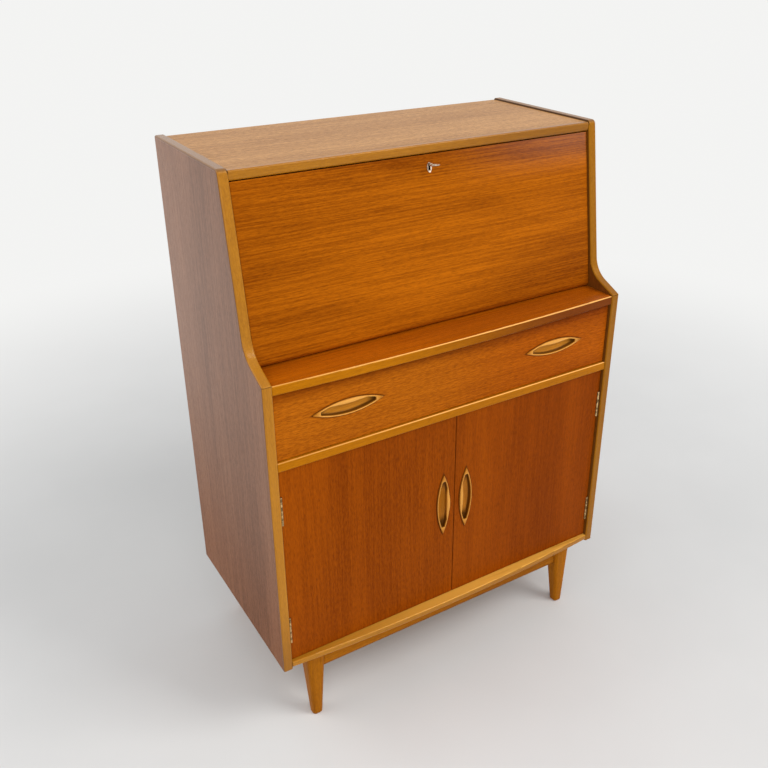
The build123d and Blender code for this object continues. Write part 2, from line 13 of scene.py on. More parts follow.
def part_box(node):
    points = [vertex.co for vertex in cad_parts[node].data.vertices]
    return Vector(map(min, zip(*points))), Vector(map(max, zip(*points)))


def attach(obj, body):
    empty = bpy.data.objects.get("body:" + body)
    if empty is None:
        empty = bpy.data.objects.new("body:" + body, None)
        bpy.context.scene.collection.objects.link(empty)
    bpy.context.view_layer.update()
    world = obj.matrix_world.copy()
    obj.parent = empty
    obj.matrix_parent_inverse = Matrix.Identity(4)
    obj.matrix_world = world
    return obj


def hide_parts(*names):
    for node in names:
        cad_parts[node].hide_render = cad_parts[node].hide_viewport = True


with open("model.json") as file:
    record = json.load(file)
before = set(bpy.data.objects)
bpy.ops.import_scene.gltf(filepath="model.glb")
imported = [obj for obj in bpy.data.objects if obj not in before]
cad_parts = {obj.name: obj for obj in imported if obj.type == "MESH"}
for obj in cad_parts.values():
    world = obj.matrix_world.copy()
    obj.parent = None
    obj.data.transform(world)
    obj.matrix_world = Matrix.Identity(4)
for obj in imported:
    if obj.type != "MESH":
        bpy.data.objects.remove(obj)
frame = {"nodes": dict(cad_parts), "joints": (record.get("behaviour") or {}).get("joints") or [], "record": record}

bl_info = {
    "name": "Secretary Desk Looks",
    "version": (1, 0, 0),
    "blender": (4, 5, 0),
    "location": "View3D > Sidebar > Desk",
    "description": "Dresses a secretary desk with wood, fittings and a plain studio",
    "category": "Object",
}

NODES = frame["nodes"]
SLOT_OF_NODE = {part["node"]: part["material_slot"] for part in frame["record"]["subparts"]}
BODY_OF_NODE = {
    node: body
    for body, members in frame["record"]["behaviour"]["bodies"].items()
    for node in members
}
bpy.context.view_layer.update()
MM = 0.001
FALL_TILT = math.radians(8.9)
FALL_OUT = Vector((0, -math.cos(FALL_TILT), math.sin(FALL_TILT)))
FALL_UP = Vector((0, math.sin(FALL_TILT), math.cos(FALL_TILT)))

# Direction of the grain in each board, where it isn't along the width
UPRIGHT_BOARDS = {
    "left_side_panel", "right_side_panel", "left_side_lipping", "right_side_lipping",
    "left_door_panel", "right_door_panel", "left_front_leg", "right_front_leg",
    "left_rear_leg", "right_rear_leg", "back_panel", "left_door_pull", "right_door_pull",
    "left_pigeonhole_divider", "middle_pigeonhole_divider", "right_pigeonhole_divider",
    "fall_stops",
}
DEEP_BOARDS = {
    "left_drawer_side", "right_drawer_side", "drawer_runners",
    "left_frame_rail", "right_frame_rail",
}
# Turns that lay the grain of a board along the first axis of the pattern
GRAIN_TURN = {
    "width": (0.0, 0.0, 0.0),
    "upright": (0.0, math.radians(90), 0.0),
    "depth": (0.0, 0.0, math.radians(-90)),
}

# Sockets of a colour mix node: factor, first and second colour, and result
MIX_INPUTS = (0, 6, 7)
MIX_RESULT = 2
SURFACE_OUTPUTS = [("Color", "Color"), ("Roughness", "Float"), ("Height", "Float")]

# Layers of the grain: noise with its stretch, detail, roughness and warp, and the span that shows
GRAIN_LAYERS = {
    "figure": (((0.7, 6.0, 6.0), 2.0, 0.5, 0.6), (0.3, 0.7)),
    "bands": (((0.9, 42.0, 42.0), 3.0, 0.55, 0.3), (0.34, 0.66)),
    "lines": (((6.5, 380.0, 380.0), 4.0, 0.62), (0.36, 0.64)),
    "dashes": (((100.0, 680.0, 680.0), 2.0, 0.6), (0.38, 0.66)),
    "pores": (((70.0, 1300.0, 1300.0), 1.0), (0.55, 0.66)),
}
# Shares of the broad bands and the fine lines in the streaks
BAND_SHARE = 0.22
LINE_SHARE = 0.78
# Pores: their shade, and how far the dark grain goes to it
PORE_SHADE = (0.01, 0.004, 0.001, 1.0)
PORE_DARKNESS = 0.55
# What the streaks and the pores add to the roughness, and the depth of the grooves
STREAK_DULLING = 0.12
PORE_DULLING = 0.2
GROOVE_DEPTH = 0.35
# Relief: strength of the bump, and its height in metres
GRAIN_RELIEF = (0.25, 0.0002)
COAT_ROUGHNESS = 0.18

# Worn arris: bend of the normal that counts as an edge, patches of wear, and the worn colour
ARRIS_SAMPLES = 6
ARRIS_BEND = (0.02, 0.25)
WEAR_PATCHES = (((35.0, 35.0, 35.0), 3.0, 0.6), (0.25, 0.65))
WORN_GAIN = 1.35
WORN_LIFT = 0.03
LEG_WEAR = 0.2

# Tarnished metal
TARNISH_PATCHES = (((150.0, 150.0, 150.0), 4.0, 0.6), (0.4, 0.6))
TARNISH_AMOUNT = 0.8
SCRATCHES = ((300.0, 4200.0, 900.0), 2.0, 0.7)
METAL_ROUGHNESS = 0.24
PATCH_DULLING = 0.25
SCRATCH_DULLING = 0.2
METAL_RELIEF = (0.12, 0.0001)

# Strength of the layers of the grain, roughness, specular level and coat of each wood
Wood = namedtuple("Wood", "figure streaks dashes pores roughness specular coat")
WOODS = {
    "golden_wood": Wood(0.35, 0.3, 0.2, 0.2, 0.26, 0.35, 0.3),
    "rail_wood": Wood(0.35, 0.3, 0.2, 0.2, 0.3, 0.15, 0.0),
    "side_veneer": Wood(0.45, 0.5, 0.3, 0.4, 0.32, 0.5, 0.45),
    "inner_side": Wood(0.3, 0.35, 0.3, 0.4, 0.4, 0.2, 0.0),
    "top_veneer": Wood(0.3, 0.4, 0.45, 0.4, 0.4, 0.3, 0.03),
    "ledge_veneer": Wood(0.45, 0.5, 0.2, 0.4, 0.26, 0.25, 0.1),
    "fall_veneer": Wood(0.55, 0.4, 0.16, 0.3, 0.36, 0.08, 0.0),
    "drawer_veneer": Wood(0.4, 0.28, 0.36, 0.4, 0.38, 0.06, 0.0),
    "door_veneer": Wood(0.45, 0.3, 0.28, 0.35, 0.38, 0.05, 0.0),
    "pull_wood": Wood(0.3, 0.4, 0.2, 0.2, 0.28, 0.25, 0.1),
    "frame_wood": Wood(0.4, 0.4, 0.25, 0.3, 0.34, 0.06, 0.0),
    "interior_wood": Wood(0.35, 0.4, 0.3, 0.3, 0.5, 0.3, 0.0),
    "drawer_box_wood": Wood(0.35, 0.35, 0.3, 0.3, 0.6, 0.3, 0.0),
    "back_board": Wood(0.4, 0.2, 0.3, 0.3, 0.65, 0.25, 0.0),
}
# Warm sheen of the oiled fronts
WARM_SHEEN = (1.0, 0.5, 0.1, 1.0)
WARM_WOODS = {
    "golden_wood", "rail_wood", "fall_veneer", "drawer_veneer", "door_veneer", "ledge_veneer",
    "frame_wood", "pull_wood", "inner_side",
}

# Where masks start and end
SPANS = {
    # Metres along the width
    "right_lipping": (-0.1, 0.1),
    "left_lipping": (0.1, -0.1),
    "rubbed_rail": (-0.42, 0.1),
    "ledge_end": (-0.2, 0.28),
    "bright_arris": (-0.75, 0.05),
    "top_end": (-0.1, 0.3),
    "shaded_front": (-0.1, 0.2),
    "fall_right": (0.0, 0.34),
    # Metres of height
    "low_side": (0.55, 0.2),
    "side_polish": (0.1, 0.75),
    "lipping_foot": (0.34, 0.12),
    "nose_joint": (0.7498, 0.7506),
    "above_joint": (0.7512, 0.752),
    "top_seam": (1.06, 1.066),
    "top_edge": (1.0655, 1.0695),
    "fall_top": (0.97, 1.05),
    # How squarely a face looks one way
    "square_on": (0.8, 0.97),
    "rounded_edge": (0.2, 0.6),
    "upper_face": (0.5, 0.9),
    "arris": (0.4, 0.65),
    "flat_top": (0.9, 0.97),
}

# Dark glue lines on the side lippings; the same colour is painted shade at the top seam and around the pulls
GLUE_AND_SHADE_LINE = (0.045, 0.014, 0.003, 1.0)
GLUE_DARKNESS = 3.0
JOINT_DARKNESS = 0.6
# Painted shade on the inner faces of the side lippings, and their brown top edges
INNER_FACE_SHADE = (0.13, 0.045, 0.005, 1.0)
TOP_EDGE = (0.24, 0.105, 0.026, 1.0)
# Painted shade: darker on the right-hand lipping, towards the lower ends and at the top lipping's right end
RIGHT_AND_LOW_SHADE = (0.7, 0.66, 0.55, 1.0)
# Painted shade: redder, darker veneer low down on the sides
LOW_SIDE_SHADE = (0.95, 0.84, 0.7, 1.0)
# Painted highlight on the upper arris of the rails, and painted shade at the right-hand end of the ledge rail
ARRIS_HIGHLIGHT = (0.95, 0.48, 0.13, 1.0)
LEDGE_END_SHADE = (0.4, 0.24, 0.2, 1.0)
# Painted highlight in patches on the upper face of the bowed rail
RAIL_TOP_HIGHLIGHT = (0.8, 0.4, 0.06, 1.0)
RAIL_HIGHLIGHT_PATCHES = (((6.0, 60.0, 60.0), 3.0), (0.2, 0.55))
# Painted shade that deepens towards the right over the doors and the drawer front
RIGHT_FRONT_SHADE = {"door_pull": (0.78, 0.7, 0.45, 1.0), "drawer_pull": (0.9, 0.74, 0.5, 1.0)}
# Painted shadow of the ledge on the drawer front, close under it
UNDER_LEDGE_SHADOW = (0.55, 0.44, 0.3, 1.0)
LEDGE_SHADE = 32 * MM
# Painted shade around a pull: millimetres behind the front, and reach beyond the outline
OUTLINE_SHADE_DEPTH = (0.5, 2.0)
OUTLINE_SHADE_REACH = (1.0, 1.3)
OUTLINE_SHADE_STRENGTH = 0.75
# Recess of a pull: millimetres behind the front, or before it where negative, its tone,
# and painted shade at its ends and walls
RECESS_DEPTH = (-2.2, 1.5)
RECESS_TONE = {"door_pull": (0.5, 0.14, 0.001, 1.0), "drawer_pull": (0.85, 0.35, 0.02, 1.0)}
RECESS_SHARE = 0.25
PULL_SHADE = (0.05, 0.014, 0.001, 1.0)
DARK_ENDS = {"door_pull": (0.16, 0.45), "drawer_pull": (0.3, 0.6)}
END_DARKNESS = 0.88
DARK_WALLS = (0.68, 0.87)
WALL_DARKNESS = 0.85
# Painted highlight on the rim of a pull: millimetres before the front, length that is lit, and its strength
RIM_HIGHLIGHT = (0.95, 0.47, 0.1, 1.0)
RIM_DEPTH = (-1.2, -2.6)
RIM_HIGHLIGHT_LENGTH = (0.9, 0.45)
RIM_HIGHLIGHT_STRENGTH = {"door_pull": 0.4, "drawer_pull": 0.65}
# Painted shade inside the keyhole, its place and reach in the frame of the lock, in millimetres
KEYHOLE_SHADE = (0.008, 0.004, 0.002, 1.0)
KEYHOLE_PLACE = Vector((0, -4.5, -10))
KEYHOLE_SIZE = Vector((4.4, 14, 8))
KEYHOLE_EDGE = (1.0, 0.9)

# Facets of the wide drums and of the ball that carve the pulls
DRUM_FACETS = 720
BALL_FACETS = 128
# Length and width of the bowl of the recess, as shares of its mouth
BOWL_SPREAD = (1.2, 1.45)

# Key, in millimetres: shank behind the face of the fall, bow, and bit with its notch
KEY_ROOT = 16.2
KEY_FACETS = 32
# Collars: distance behind the end of the shank, girth as a share of the shank's, and width
KEY_COLLARS = ((3.0, 1.5, 1.6), (5.2, 1.28, 1.0))
BOW_RADII = (6.9, 1.55)
BOW_FACETS = (64, 20)
BOW_RISE = 8.0
BOW_SHAPE = (1.0, 1.06, 0.78)
BIT_SIZE = Vector((6.4, 1.8, 4.0))
BIT_PLACE = Vector((2.6, 0, 2.0 - KEY_ROOT))
NOTCH_SIZE = Vector((2.2, 4, 1.0))
NOTCH_PLACE = Vector((5.0, 0, 1.9 - KEY_ROOT))

# Escutcheon, in millimetres: its middle beside the keyhole, half width and height, and cuts
PLATE_THICK = 1.2
PLATE_FACETS = 96
PLATE_PLACE = -4.5
PLATE_REACH = (4.8, 8.6)
PLATE_RIM = 1.1
PLATE_DISH = 0.4
EYE_RADIUS = 2.7
EYE_DEPTH = 6
EYE_FACETS = 48
SLOT_SIZE = Vector((4.0, 9.8, 6))
SLOT_PLACE = Vector((0, -4.9, 0))
# How squarely a face looks up that counts as the front of the plate
FACING_UP = 0.9

# Screw head, in millimetres: height, sink below the face, and the slot's width, depth and place
HEAD_HEIGHT = 0.7
HEAD_SINK = 0.2
HEAD_FACETS = 20
HEAD_SLOT = (0.45, 0.5, 0.15)
# Hinge leaves, in millimetres: the faces that the screws stand in, and screws along a leaf
LEAF_THICK = 1.0
DOOR_LEAF_FACE = 360.0
LEAF_MIDDLE = 8.0
LEAF_LENGTH = 57.0
LEAF_SCREWS = ((8.0, 3.0), (28.5, -3.0), (49.0, 3.0))
# Screws in the frame of the lock, in millimetres
CASE_SCREWS = [(x, y, -18.0) for x in (-17, 17) for y in (-10, 13)]
# Degrees from the slot of one screw to the next, and of the first
SLOT_STEP = 37.0
SLOT_START = 11.0

# Stage: lights with the value of their power, their place and size, and what they look at
LIGHTS = {
    "key_light": ("key_power", (1.8, -2.2, 3.4), 1.8),
    "fill_light": ("fill_power", (-1.4, -3.0, 2.0), 2.6),
    "wall_glow": ("glow_power", (-2.0, 0.8, 2.1), 1.8),
}
LIGHT_AIM = Vector((0, 0, 0.55))
FLOOR_SIZE = 60.0
FLOOR_CUTS = 8
FLOOR_CLOUDS = (((3.0, 3.0, 3.0), 3.0), (0.3, 0.7))
FLOOR_SHADE = 0.97
FLOOR_FADE = (0.8, 2.6)
FLOOR_WHITE = (0.9, 0.9, 0.89, 1.0)
SKY_COLOUR = (0.93, 0.96, 1.0, 1.0)
SKY_WHITE = (0.95, 0.95, 0.95, 1.0)

# Camera: its place, its axes to the right, up and back, and its shift
CAMERA_PLACE = (-0.8276, -1.3347, 1.3867)
CAMERA_AXES = ((0.847, -0.5316, 0.0018), (0.2328, 0.374, 0.8977), (-0.478, -0.7599, 0.4405))
CAMERA_SHIFT = (-0.0313, -0.0265)
SENSOR_WIDTH = 36.0


def tint(label, colour):
    """A colour that the user may change."""
    return FloatVectorProperty(
        name=label,
        description="Colour of the " + label.lower(),
        subtype="COLOR",
        size=3,
        min=0.0,
        max=1.0,
        default=colour,
    )


def share(label, description, value):
    """A number between nought and one that the user may change."""
    return FloatProperty(
        name=label, description=description, subtype="FACTOR", min=0.0, max=1.0, default=value
    )


def length(label, description, millimetres):
    """A length in metres that the user may change, written here in millimetres."""
    return FloatProperty(
        name=label,
        description=description,
        unit="LENGTH",
        subtype="DISTANCE",
        min=0.0,
        default=millimetres * MM,
    )


def power(label, side, watts):
    """The power of a light, which the user may change."""
    description = "Power of the soft light from the " + side
    return FloatProperty(name=label, description=description, unit="POWER", min=0.0, default=watts)


class DeskColours(bpy.types.PropertyGroup):
    """Light and dark grain of every wood, and the colours of the metals."""

    golden_wood_light: tint("Lipping, light grain", (0.52, 0.21, 0.012))
    golden_wood_dark: tint("Lipping, dark grain", (0.29, 0.1, 0.004))
    rail_wood_light: tint("Rail wood, light grain", (0.56, 0.19, 0.003))
    rail_wood_dark: tint("Rail wood, dark grain", (0.31, 0.095, 0.001))
    side_veneer_light: tint("Side veneer, light grain", (0.34, 0.135, 0.055))
    side_veneer_dark: tint("Side veneer, dark grain", (0.145, 0.052, 0.02))
    inner_side_light: tint("Side inside, light grain", (0.26, 0.085, 0.01))
    inner_side_dark: tint("Side inside, dark grain", (0.13, 0.04, 0.005))
    top_veneer_light: tint("Top veneer, light grain", (0.68, 0.33, 0.09))
    top_veneer_dark: tint("Top veneer, dark grain", (0.27, 0.11, 0.026))
    ledge_veneer_light: tint("Ledge veneer, light grain", (0.62, 0.15, 0.002))
    ledge_veneer_dark: tint("Ledge veneer, dark grain", (0.27, 0.053, 0.001))
    fall_veneer_light: tint("Fall veneer, light grain", (0.64, 0.17, 0.004))
    fall_veneer_dark: tint("Fall veneer, dark grain", (0.2, 0.04, 0.001))
    drawer_veneer_light: tint("Drawer veneer, light grain", (0.62, 0.17, 0.006))
    drawer_veneer_dark: tint("Drawer veneer, dark grain", (0.25, 0.052, 0.002))
    door_veneer_light: tint("Door veneer, light grain", (0.42, 0.088, 0.002))
    door_veneer_dark: tint("Door veneer, dark grain", (0.18, 0.03, 0.001))
    pull_wood_light: tint("Pull wood, light grain", (0.62, 0.235, 0.02))
    pull_wood_dark: tint("Pull wood, dark grain", (0.34, 0.105, 0.006))
    frame_wood_light: tint("Leg wood, light grain", (0.5, 0.17, 0.006))
    frame_wood_dark: tint("Leg wood, dark grain", (0.26, 0.075, 0.003))
    interior_wood_light: tint("Inside veneer, light grain", (0.52, 0.26, 0.085))
    interior_wood_dark: tint("Inside veneer, dark grain", (0.34, 0.15, 0.042))
    drawer_box_wood_light: tint("Drawer box wood, light grain", (0.60, 0.42, 0.22))
    drawer_box_wood_dark: tint("Drawer box wood, dark grain", (0.46, 0.29, 0.13))
    back_board_light: tint("Back board, light grain", (0.30, 0.19, 0.10))
    back_board_dark: tint("Back board, dark grain", (0.20, 0.12, 0.06))
    brass: tint("Brass", (0.78, 0.55, 0.26))
    brass_tarnish: tint("Tarnish on the brass", (0.09, 0.045, 0.014))
    steel: tint("Bright key metal", (0.86, 0.68, 0.53))
    steel_tarnish: tint("Tarnish on the key metal", (0.30, 0.25, 0.19))
    floor: tint("Floor", (0.74, 0.73, 0.71))


class DeskSizes(bpy.types.PropertyGroup):
    """Sizes of the modelled fittings and of the wear along the edges."""

    pull_length: length("Pull length", "Length of a pull between its points", 135.0)
    pull_width: length("Pull width", "Width of a pull at its middle", 28.0)
    pull_depth: length("Pull depth", "Depth of a pull behind the front", 12.0)
    pull_rim: length("Rim height", "Height of the rim of a pull in front of the board", 3.0)
    side_rim: length("Side rim", "Width of the rim beside the recess of a pull", 1.7)
    end_rim: length("End rim", "Length of the solid ends of a pull", 14.5)
    point_rim: length("Point rim", "Wood between the points of the outline and of the recess", 6.0)
    pull_floor: length("Pull floor", "Wood left behind the recess of a pull", 2.5)
    grip_height: length("Grip height", "Height of the grip at the middle of a pull", 4.5)
    grip_length: length("Grip length", "Length of the raised grip along a pull", 66.0)
    lip_length: length("Lip length", "Length of the lens that the lip is cut from", 190.0)
    grip_width: length("Grip width", "Reach of the grip over the recess of a pull", 6.8)
    grip_lip: length("Grip lip", "Depth of the lip of the grip behind the front", 2.0)
    pull_grain: length("Pull detail", "Cell size that a carved pull is smoothed at", 0.65)
    key_radius: length("Key shank", "Radius of the shank of the key", 1.75)
    key_reach: length("Key reach", "Length of the shank in front of the fall", 10.5)
    screw_radius: length("Screw radius", "Radius of the heads of the hinge screws", 2.0)
    edge_radius: length("Edge softness", "Width of the soft arris along board edges", 0.9)
    leg_radius: length("Leg softness", "Width of the soft arris along the legs", 8.0)
    edge_wear: share("Edge wear", "Strength of the lighter wear along the arrises", 0.45)


class DeskStage(bpy.types.PropertyGroup):
    """Light and camera of the studio."""

    key_power: power("Key light", "front right", 72.0)
    fill_power: power("Fill light", "front left", 36.0)
    glow_power: power("Wall glow", "left", 18.0)
    sky: FloatProperty(
        name="Sky", description="Strength of the even light from all around",
        min=0.0, default=0.6,
    )
    focal_length: FloatProperty(
        name="Focal length", description="Focal length of the lens in millimetres",
        subtype="DISTANCE_CAMERA", min=1.0, default=41.0,
    )


def deselect_all():
    """Leaves edit mode and clears the selection."""
    if bpy.context.mode != "OBJECT":
        bpy.ops.object.mode_set(mode="OBJECT")
    bpy.ops.object.select_all(action="DESELECT")


def make_active(piece):
    """Selects one piece alone and makes it active."""
    deselect_all()
    piece.select_set(True)
    bpy.context.view_layer.objects.active = piece


def freeze(piece):
    """Puts the place, turn and scale of a piece into its mesh."""
    make_active(piece)
    bpy.ops.object.transform_apply(location=True, rotation=True, scale=True)


def add_modifier(piece, kind, **settings):
    """Adds a modifier with its settings and applies it."""
    make_active(piece)
    bpy.ops.object.modifier_add(type=kind)
    modifier = piece.modifiers[-1]
    for key, value in settings.items():
        setattr(modifier, key, value)
    bpy.ops.object.modifier_apply(modifier=modifier.name)


def cut(piece, tool, operation):
    """Cuts, joins or trims a piece with a tool, and removes the tool."""
    add_modifier(piece, "BOOLEAN", object=tool, operation=operation, solver="EXACT")
    bpy.data.objects.remove(tool, do_unlink=True)


def take_newest(name, size=(1.0, 1.0, 1.0)):
    """The piece that was just added, named, with its size and place in its mesh."""
    piece = bpy.context.active_object
    piece.name = name
    piece.scale = size
    freeze(piece)
    return piece


def drum(name, radius, depth, place, facets, turn=(0.0, 0.0, 0.0)):
    """A round bar with its place and turn in its mesh."""
    deselect_all()
    bpy.ops.mesh.primitive_cylinder_add(
        vertices=facets, radius=radius, depth=depth, location=place, rotation=turn
    )
    return take_newest(name)


def brick(name, size, place):
    """A box of a given size with its place in its mesh."""
    deselect_all()
    bpy.ops.mesh.primitive_cube_add(size=1.0, location=place)
    return take_newest(name, size)


def lens_bar(name, span, width, bottom, top, shift=0.0):
    """A bar on a lens-shaped plan, cut from two wide drums."""
    radius = (span * span + width * width) / (4.0 * width)
    offset = radius - width / 2
    middle = (bottom + top) / 2
    bar, other = (
        drum(name + end, radius, top - bottom, (0, shift + side * offset, middle), DRUM_FACETS)
        for end, side in (("", -1), ("_half", 1))
    )
    cut(bar, other, "INTERSECT")
    return bar


def ball(name, size, place):
    """A ball squashed to a given size with its place in its mesh."""
    deselect_all()
    bpy.ops.mesh.primitive_uv_sphere_add(
        segments=BALL_FACETS, ring_count=BALL_FACETS // 2, radius=0.5, location=place
    )
    return take_newest(name, size)


def copy_piece(source, name, placement):
    """A copy with its own mesh, moved by a matrix and frozen at the origin."""
    piece = source.copy()
    piece.data = source.data.copy()
    piece.name = name
    bpy.context.scene.collection.objects.link(piece)
    piece.matrix_world = placement
    freeze(piece)
    return piece


def turned(origin, first, second, third):
    """Matrix that lays the three axes of a piece along given directions."""
    matrix = Matrix((Vector(first), Vector(second), Vector(third))).transposed().to_4x4()
    matrix.translation = Vector(origin)
    return matrix


def smooth_edges(piece, degrees):
    """Smooth shading except over sharp edges."""
    make_active(piece)
    bpy.ops.object.shade_smooth_by_angle(angle=math.radians(degrees))


def soften(piece, millimetres, segments, degrees):
    """Rounds the edges of a piece that are sharper than an angle."""
    add_modifier(
        piece, "BEVEL", width=millimetres * MM, segments=segments, angle_limit=math.radians(degrees)
    )


def select_faces(piece, wanted):
    """Selects the faces of a piece that pass a test, and no others."""
    make_active(piece)
    bpy.ops.object.mode_set(mode="EDIT")
    bpy.ops.mesh.select_mode(type="FACE")
    bpy.ops.mesh.select_all(action="DESELECT")
    bpy.ops.object.mode_set(mode="OBJECT")
    for face in piece.data.polygons:
        face.select = wanted(face)


def lock_frame():
    """Matrix at the keyhole on the outer face of the fall: right, up the fall, outwards."""
    joint = next(joint for joint in frame["joints"] if joint["name"] == "key_turn")
    return turned(joint["pos_m"], (1, 0, 0), FALL_UP, FALL_OUT)

def set_socket(tree, socket, value):
    """Links a socket to another one, or sets it to a plain value."""
    if isinstance(value, bpy.types.NodeSocket):
        tree.links.new(value, socket)
    else:
        socket.default_value = value


def math_node(tree, operation, first, second=0.0, clamp=False):
    """A math node whose inputs are sockets or numbers."""
    node = tree.nodes.new("ShaderNodeMath")
    node.operation = operation
    node.use_clamp = clamp
    set_socket(tree, node.inputs[0], first)
    set_socket(tree, node.inputs[1], second)
    return node.outputs[0]


def times(tree, first, second, clamp=False):
    """Product of two sockets or numbers."""
    return math_node(tree, "MULTIPLY", first, second, clamp)


def plus(tree, first, second, clamp=False):
    """Sum of two sockets or numbers."""
    return math_node(tree, "ADD", first, second, clamp)


def rest_of(tree, mask):
    """One minus a mask."""
    return math_node(tree, "SUBTRACT", 1.0, mask)


def range_node(tree, value, span):
    """Value that rises from nought to one over a span."""
    node = tree.nodes.new("ShaderNodeMapRange")
    node.interpolation_type = "SMOOTHSTEP"
    node.inputs["From Min"].default_value, node.inputs["From Max"].default_value = span
    tree.links.new(value, node.inputs["Value"])
    return node.outputs["Result"]


def reach_mask(tree, vector, span):
    """Nought at one distance from the start of a vector and one at another."""
    reach = tree.nodes.new("ShaderNodeVectorMath")
    reach.operation = "LENGTH"
    tree.links.new(vector, reach.inputs[0])
    return range_node(tree, reach.outputs["Value"], span)


def noise_node(tree, vector, stretch, detail, rough=0.5, warp=0.0):
    """Noise that is stretched along the grain."""
    scale = tree.nodes.new("ShaderNodeVectorMath")
    scale.operation = "MULTIPLY"
    scale.inputs[1].default_value = stretch
    tree.links.new(vector, scale.inputs[0])
    noise = tree.nodes.new("ShaderNodeTexNoise")
    noise.inputs["Scale"].default_value = 1.0
    noise.inputs["Detail"].default_value = detail
    noise.inputs["Roughness"].default_value = rough
    noise.inputs["Distortion"].default_value = warp
    tree.links.new(scale.outputs[0], noise.inputs["Vector"])
    return noise.outputs["Fac"]


def pattern(tree, vector, noise, span):
    """Noise that is spread from nought to one."""
    return range_node(tree, noise_node(tree, vector, *noise), span)


def mix_colours(tree, factor, first, second, blend="MIX"):
    """Colour between two colours, each a socket or a value."""
    node = tree.nodes.new("ShaderNodeMix")
    node.data_type = "RGBA"
    node.blend_type = blend
    node.clamp_factor = True
    for socket, value in zip(MIX_INPUTS, (factor, first, second)):
        set_socket(tree, node.inputs[socket], value)
    return node.outputs[MIX_RESULT]


def split(tree, vector):
    """The X, Y and Z of a vector."""
    node = tree.nodes.new("ShaderNodeSeparateXYZ")
    tree.links.new(vector, node.inputs[0])
    return node.outputs


def facing(tree):
    """The X, Y and Z of the direction that a face looks in."""
    return split(tree, tree.nodes.new("ShaderNodeNewGeometry").outputs["Normal"])


def new_group(name, inputs, outputs):
    """An empty shader node group with its inner ends."""
    group = bpy.data.node_groups.new(name, "ShaderNodeTree")
    for label, kind, value in inputs:
        socket = group.interface.new_socket(label, in_out="INPUT", socket_type="NodeSocket" + kind)
        if value is not None:
            socket.default_value = value
    for label, kind in outputs:
        group.interface.new_socket(label, in_out="OUTPUT", socket_type="NodeSocket" + kind)
    start = group.nodes.new("NodeGroupInput")
    end = group.nodes.new("NodeGroupOutput")
    return group, start.outputs, end.inputs


def build_grain_group():
    """Wood grain: broad figure, long streaks, short dashes and fine open pores."""
    group, given, result = new_group(
        "Wood grain",
        [
            ("Vector", "Vector", None),
            ("Light", "Color", (0.5, 0.3, 0.1, 1.0)),
            ("Dark", "Color", (0.3, 0.15, 0.05, 1.0)),
            ("Figure", "Float", 0.5),
            ("Streaks", "Float", 0.5),
            ("Dashes", "Float", 0.5),
            ("Pores", "Float", 0.5),
            ("Base roughness", "Float", 0.4),
        ],
        SURFACE_OUTPUTS,
    )
    layer = {name: pattern(group, given["Vector"], *how) for name, how in GRAIN_LAYERS.items()}
    total = times(group, layer["figure"], given["Figure"])
    bands = times(group, layer["bands"], BAND_SHARE)
    streaks = plus(group, bands, times(group, layer["lines"], LINE_SHARE))
    total = plus(group, total, times(group, streaks, given["Streaks"]))
    total = plus(group, total, times(group, layer["dashes"], given["Dashes"]), True)
    body = mix_colours(group, total, given["Light"], given["Dark"])
    pores = times(group, layer["pores"], given["Pores"])
    dim = mix_colours(group, PORE_DARKNESS, given["Dark"], PORE_SHADE)
    group.links.new(mix_colours(group, pores, body, dim), result["Color"])
    rough = plus(group, times(group, total, STREAK_DULLING), given["Base roughness"])
    rough = plus(group, rough, times(group, pores, PORE_DULLING))
    group.links.new(rough, result["Roughness"])
    height = times(group, layer["lines"], -GROOVE_DEPTH)
    height = math_node(group, "SUBTRACT", height, times(group, layer["dashes"], GROOVE_DEPTH))
    height = math_node(group, "SUBTRACT", height, layer["pores"])
    group.links.new(height, result["Height"])


def build_arris_group():
    """Soft, slightly worn arris: a mask along the edges and a rounded normal."""
    group, given, result = new_group(
        "Soft arris",
        [("Vector", "Vector", None), ("Radius", "Float", 0.001), ("Wear", "Float", 0.5)],
        [("Mask", "Float"), ("Normal", "Vector")],
    )
    bevel = group.nodes.new("ShaderNodeBevel")
    bevel.samples = ARRIS_SAMPLES
    group.links.new(given["Radius"], bevel.inputs["Radius"])
    surface = group.nodes.new("ShaderNodeNewGeometry")
    dot = group.nodes.new("ShaderNodeVectorMath")
    dot.operation = "DOT_PRODUCT"
    group.links.new(bevel.outputs["Normal"], dot.inputs[0])
    group.links.new(surface.outputs["Normal"], dot.inputs[1])
    edge = range_node(group, rest_of(group, dot.outputs["Value"]), ARRIS_BEND)
    worn = times(group, edge, pattern(group, given["Vector"], *WEAR_PATCHES))
    group.links.new(times(group, worn, given["Wear"]), result["Mask"])
    group.links.new(bevel.outputs["Normal"], result["Normal"])


def build_tarnish_group():
    """Patchy tarnish and fine scratches on old metal fittings."""
    group, given, result = new_group(
        "Tarnish",
        [
            ("Vector", "Vector", None),
            ("Bright", "Color", (0.7, 0.5, 0.2, 1.0)),
            ("Dull", "Color", (0.3, 0.2, 0.1, 1.0)),
            ("Amount", "Float", 0.5),
        ],
        SURFACE_OUTPUTS,
    )
    patches = pattern(group, given["Vector"], *TARNISH_PATCHES)
    scratches = noise_node(group, given["Vector"], *SCRATCHES)
    amount = times(group, patches, given["Amount"])
    group.links.new(mix_colours(group, amount, given["Bright"], given["Dull"]), result["Color"])
    rough = times(group, patches, PATCH_DULLING)
    rough = plus(group, rough, times(group, scratches, SCRATCH_DULLING))
    group.links.new(plus(group, rough, METAL_ROUGHNESS), result["Roughness"])
    group.links.new(plus(group, scratches, amount), result["Height"])


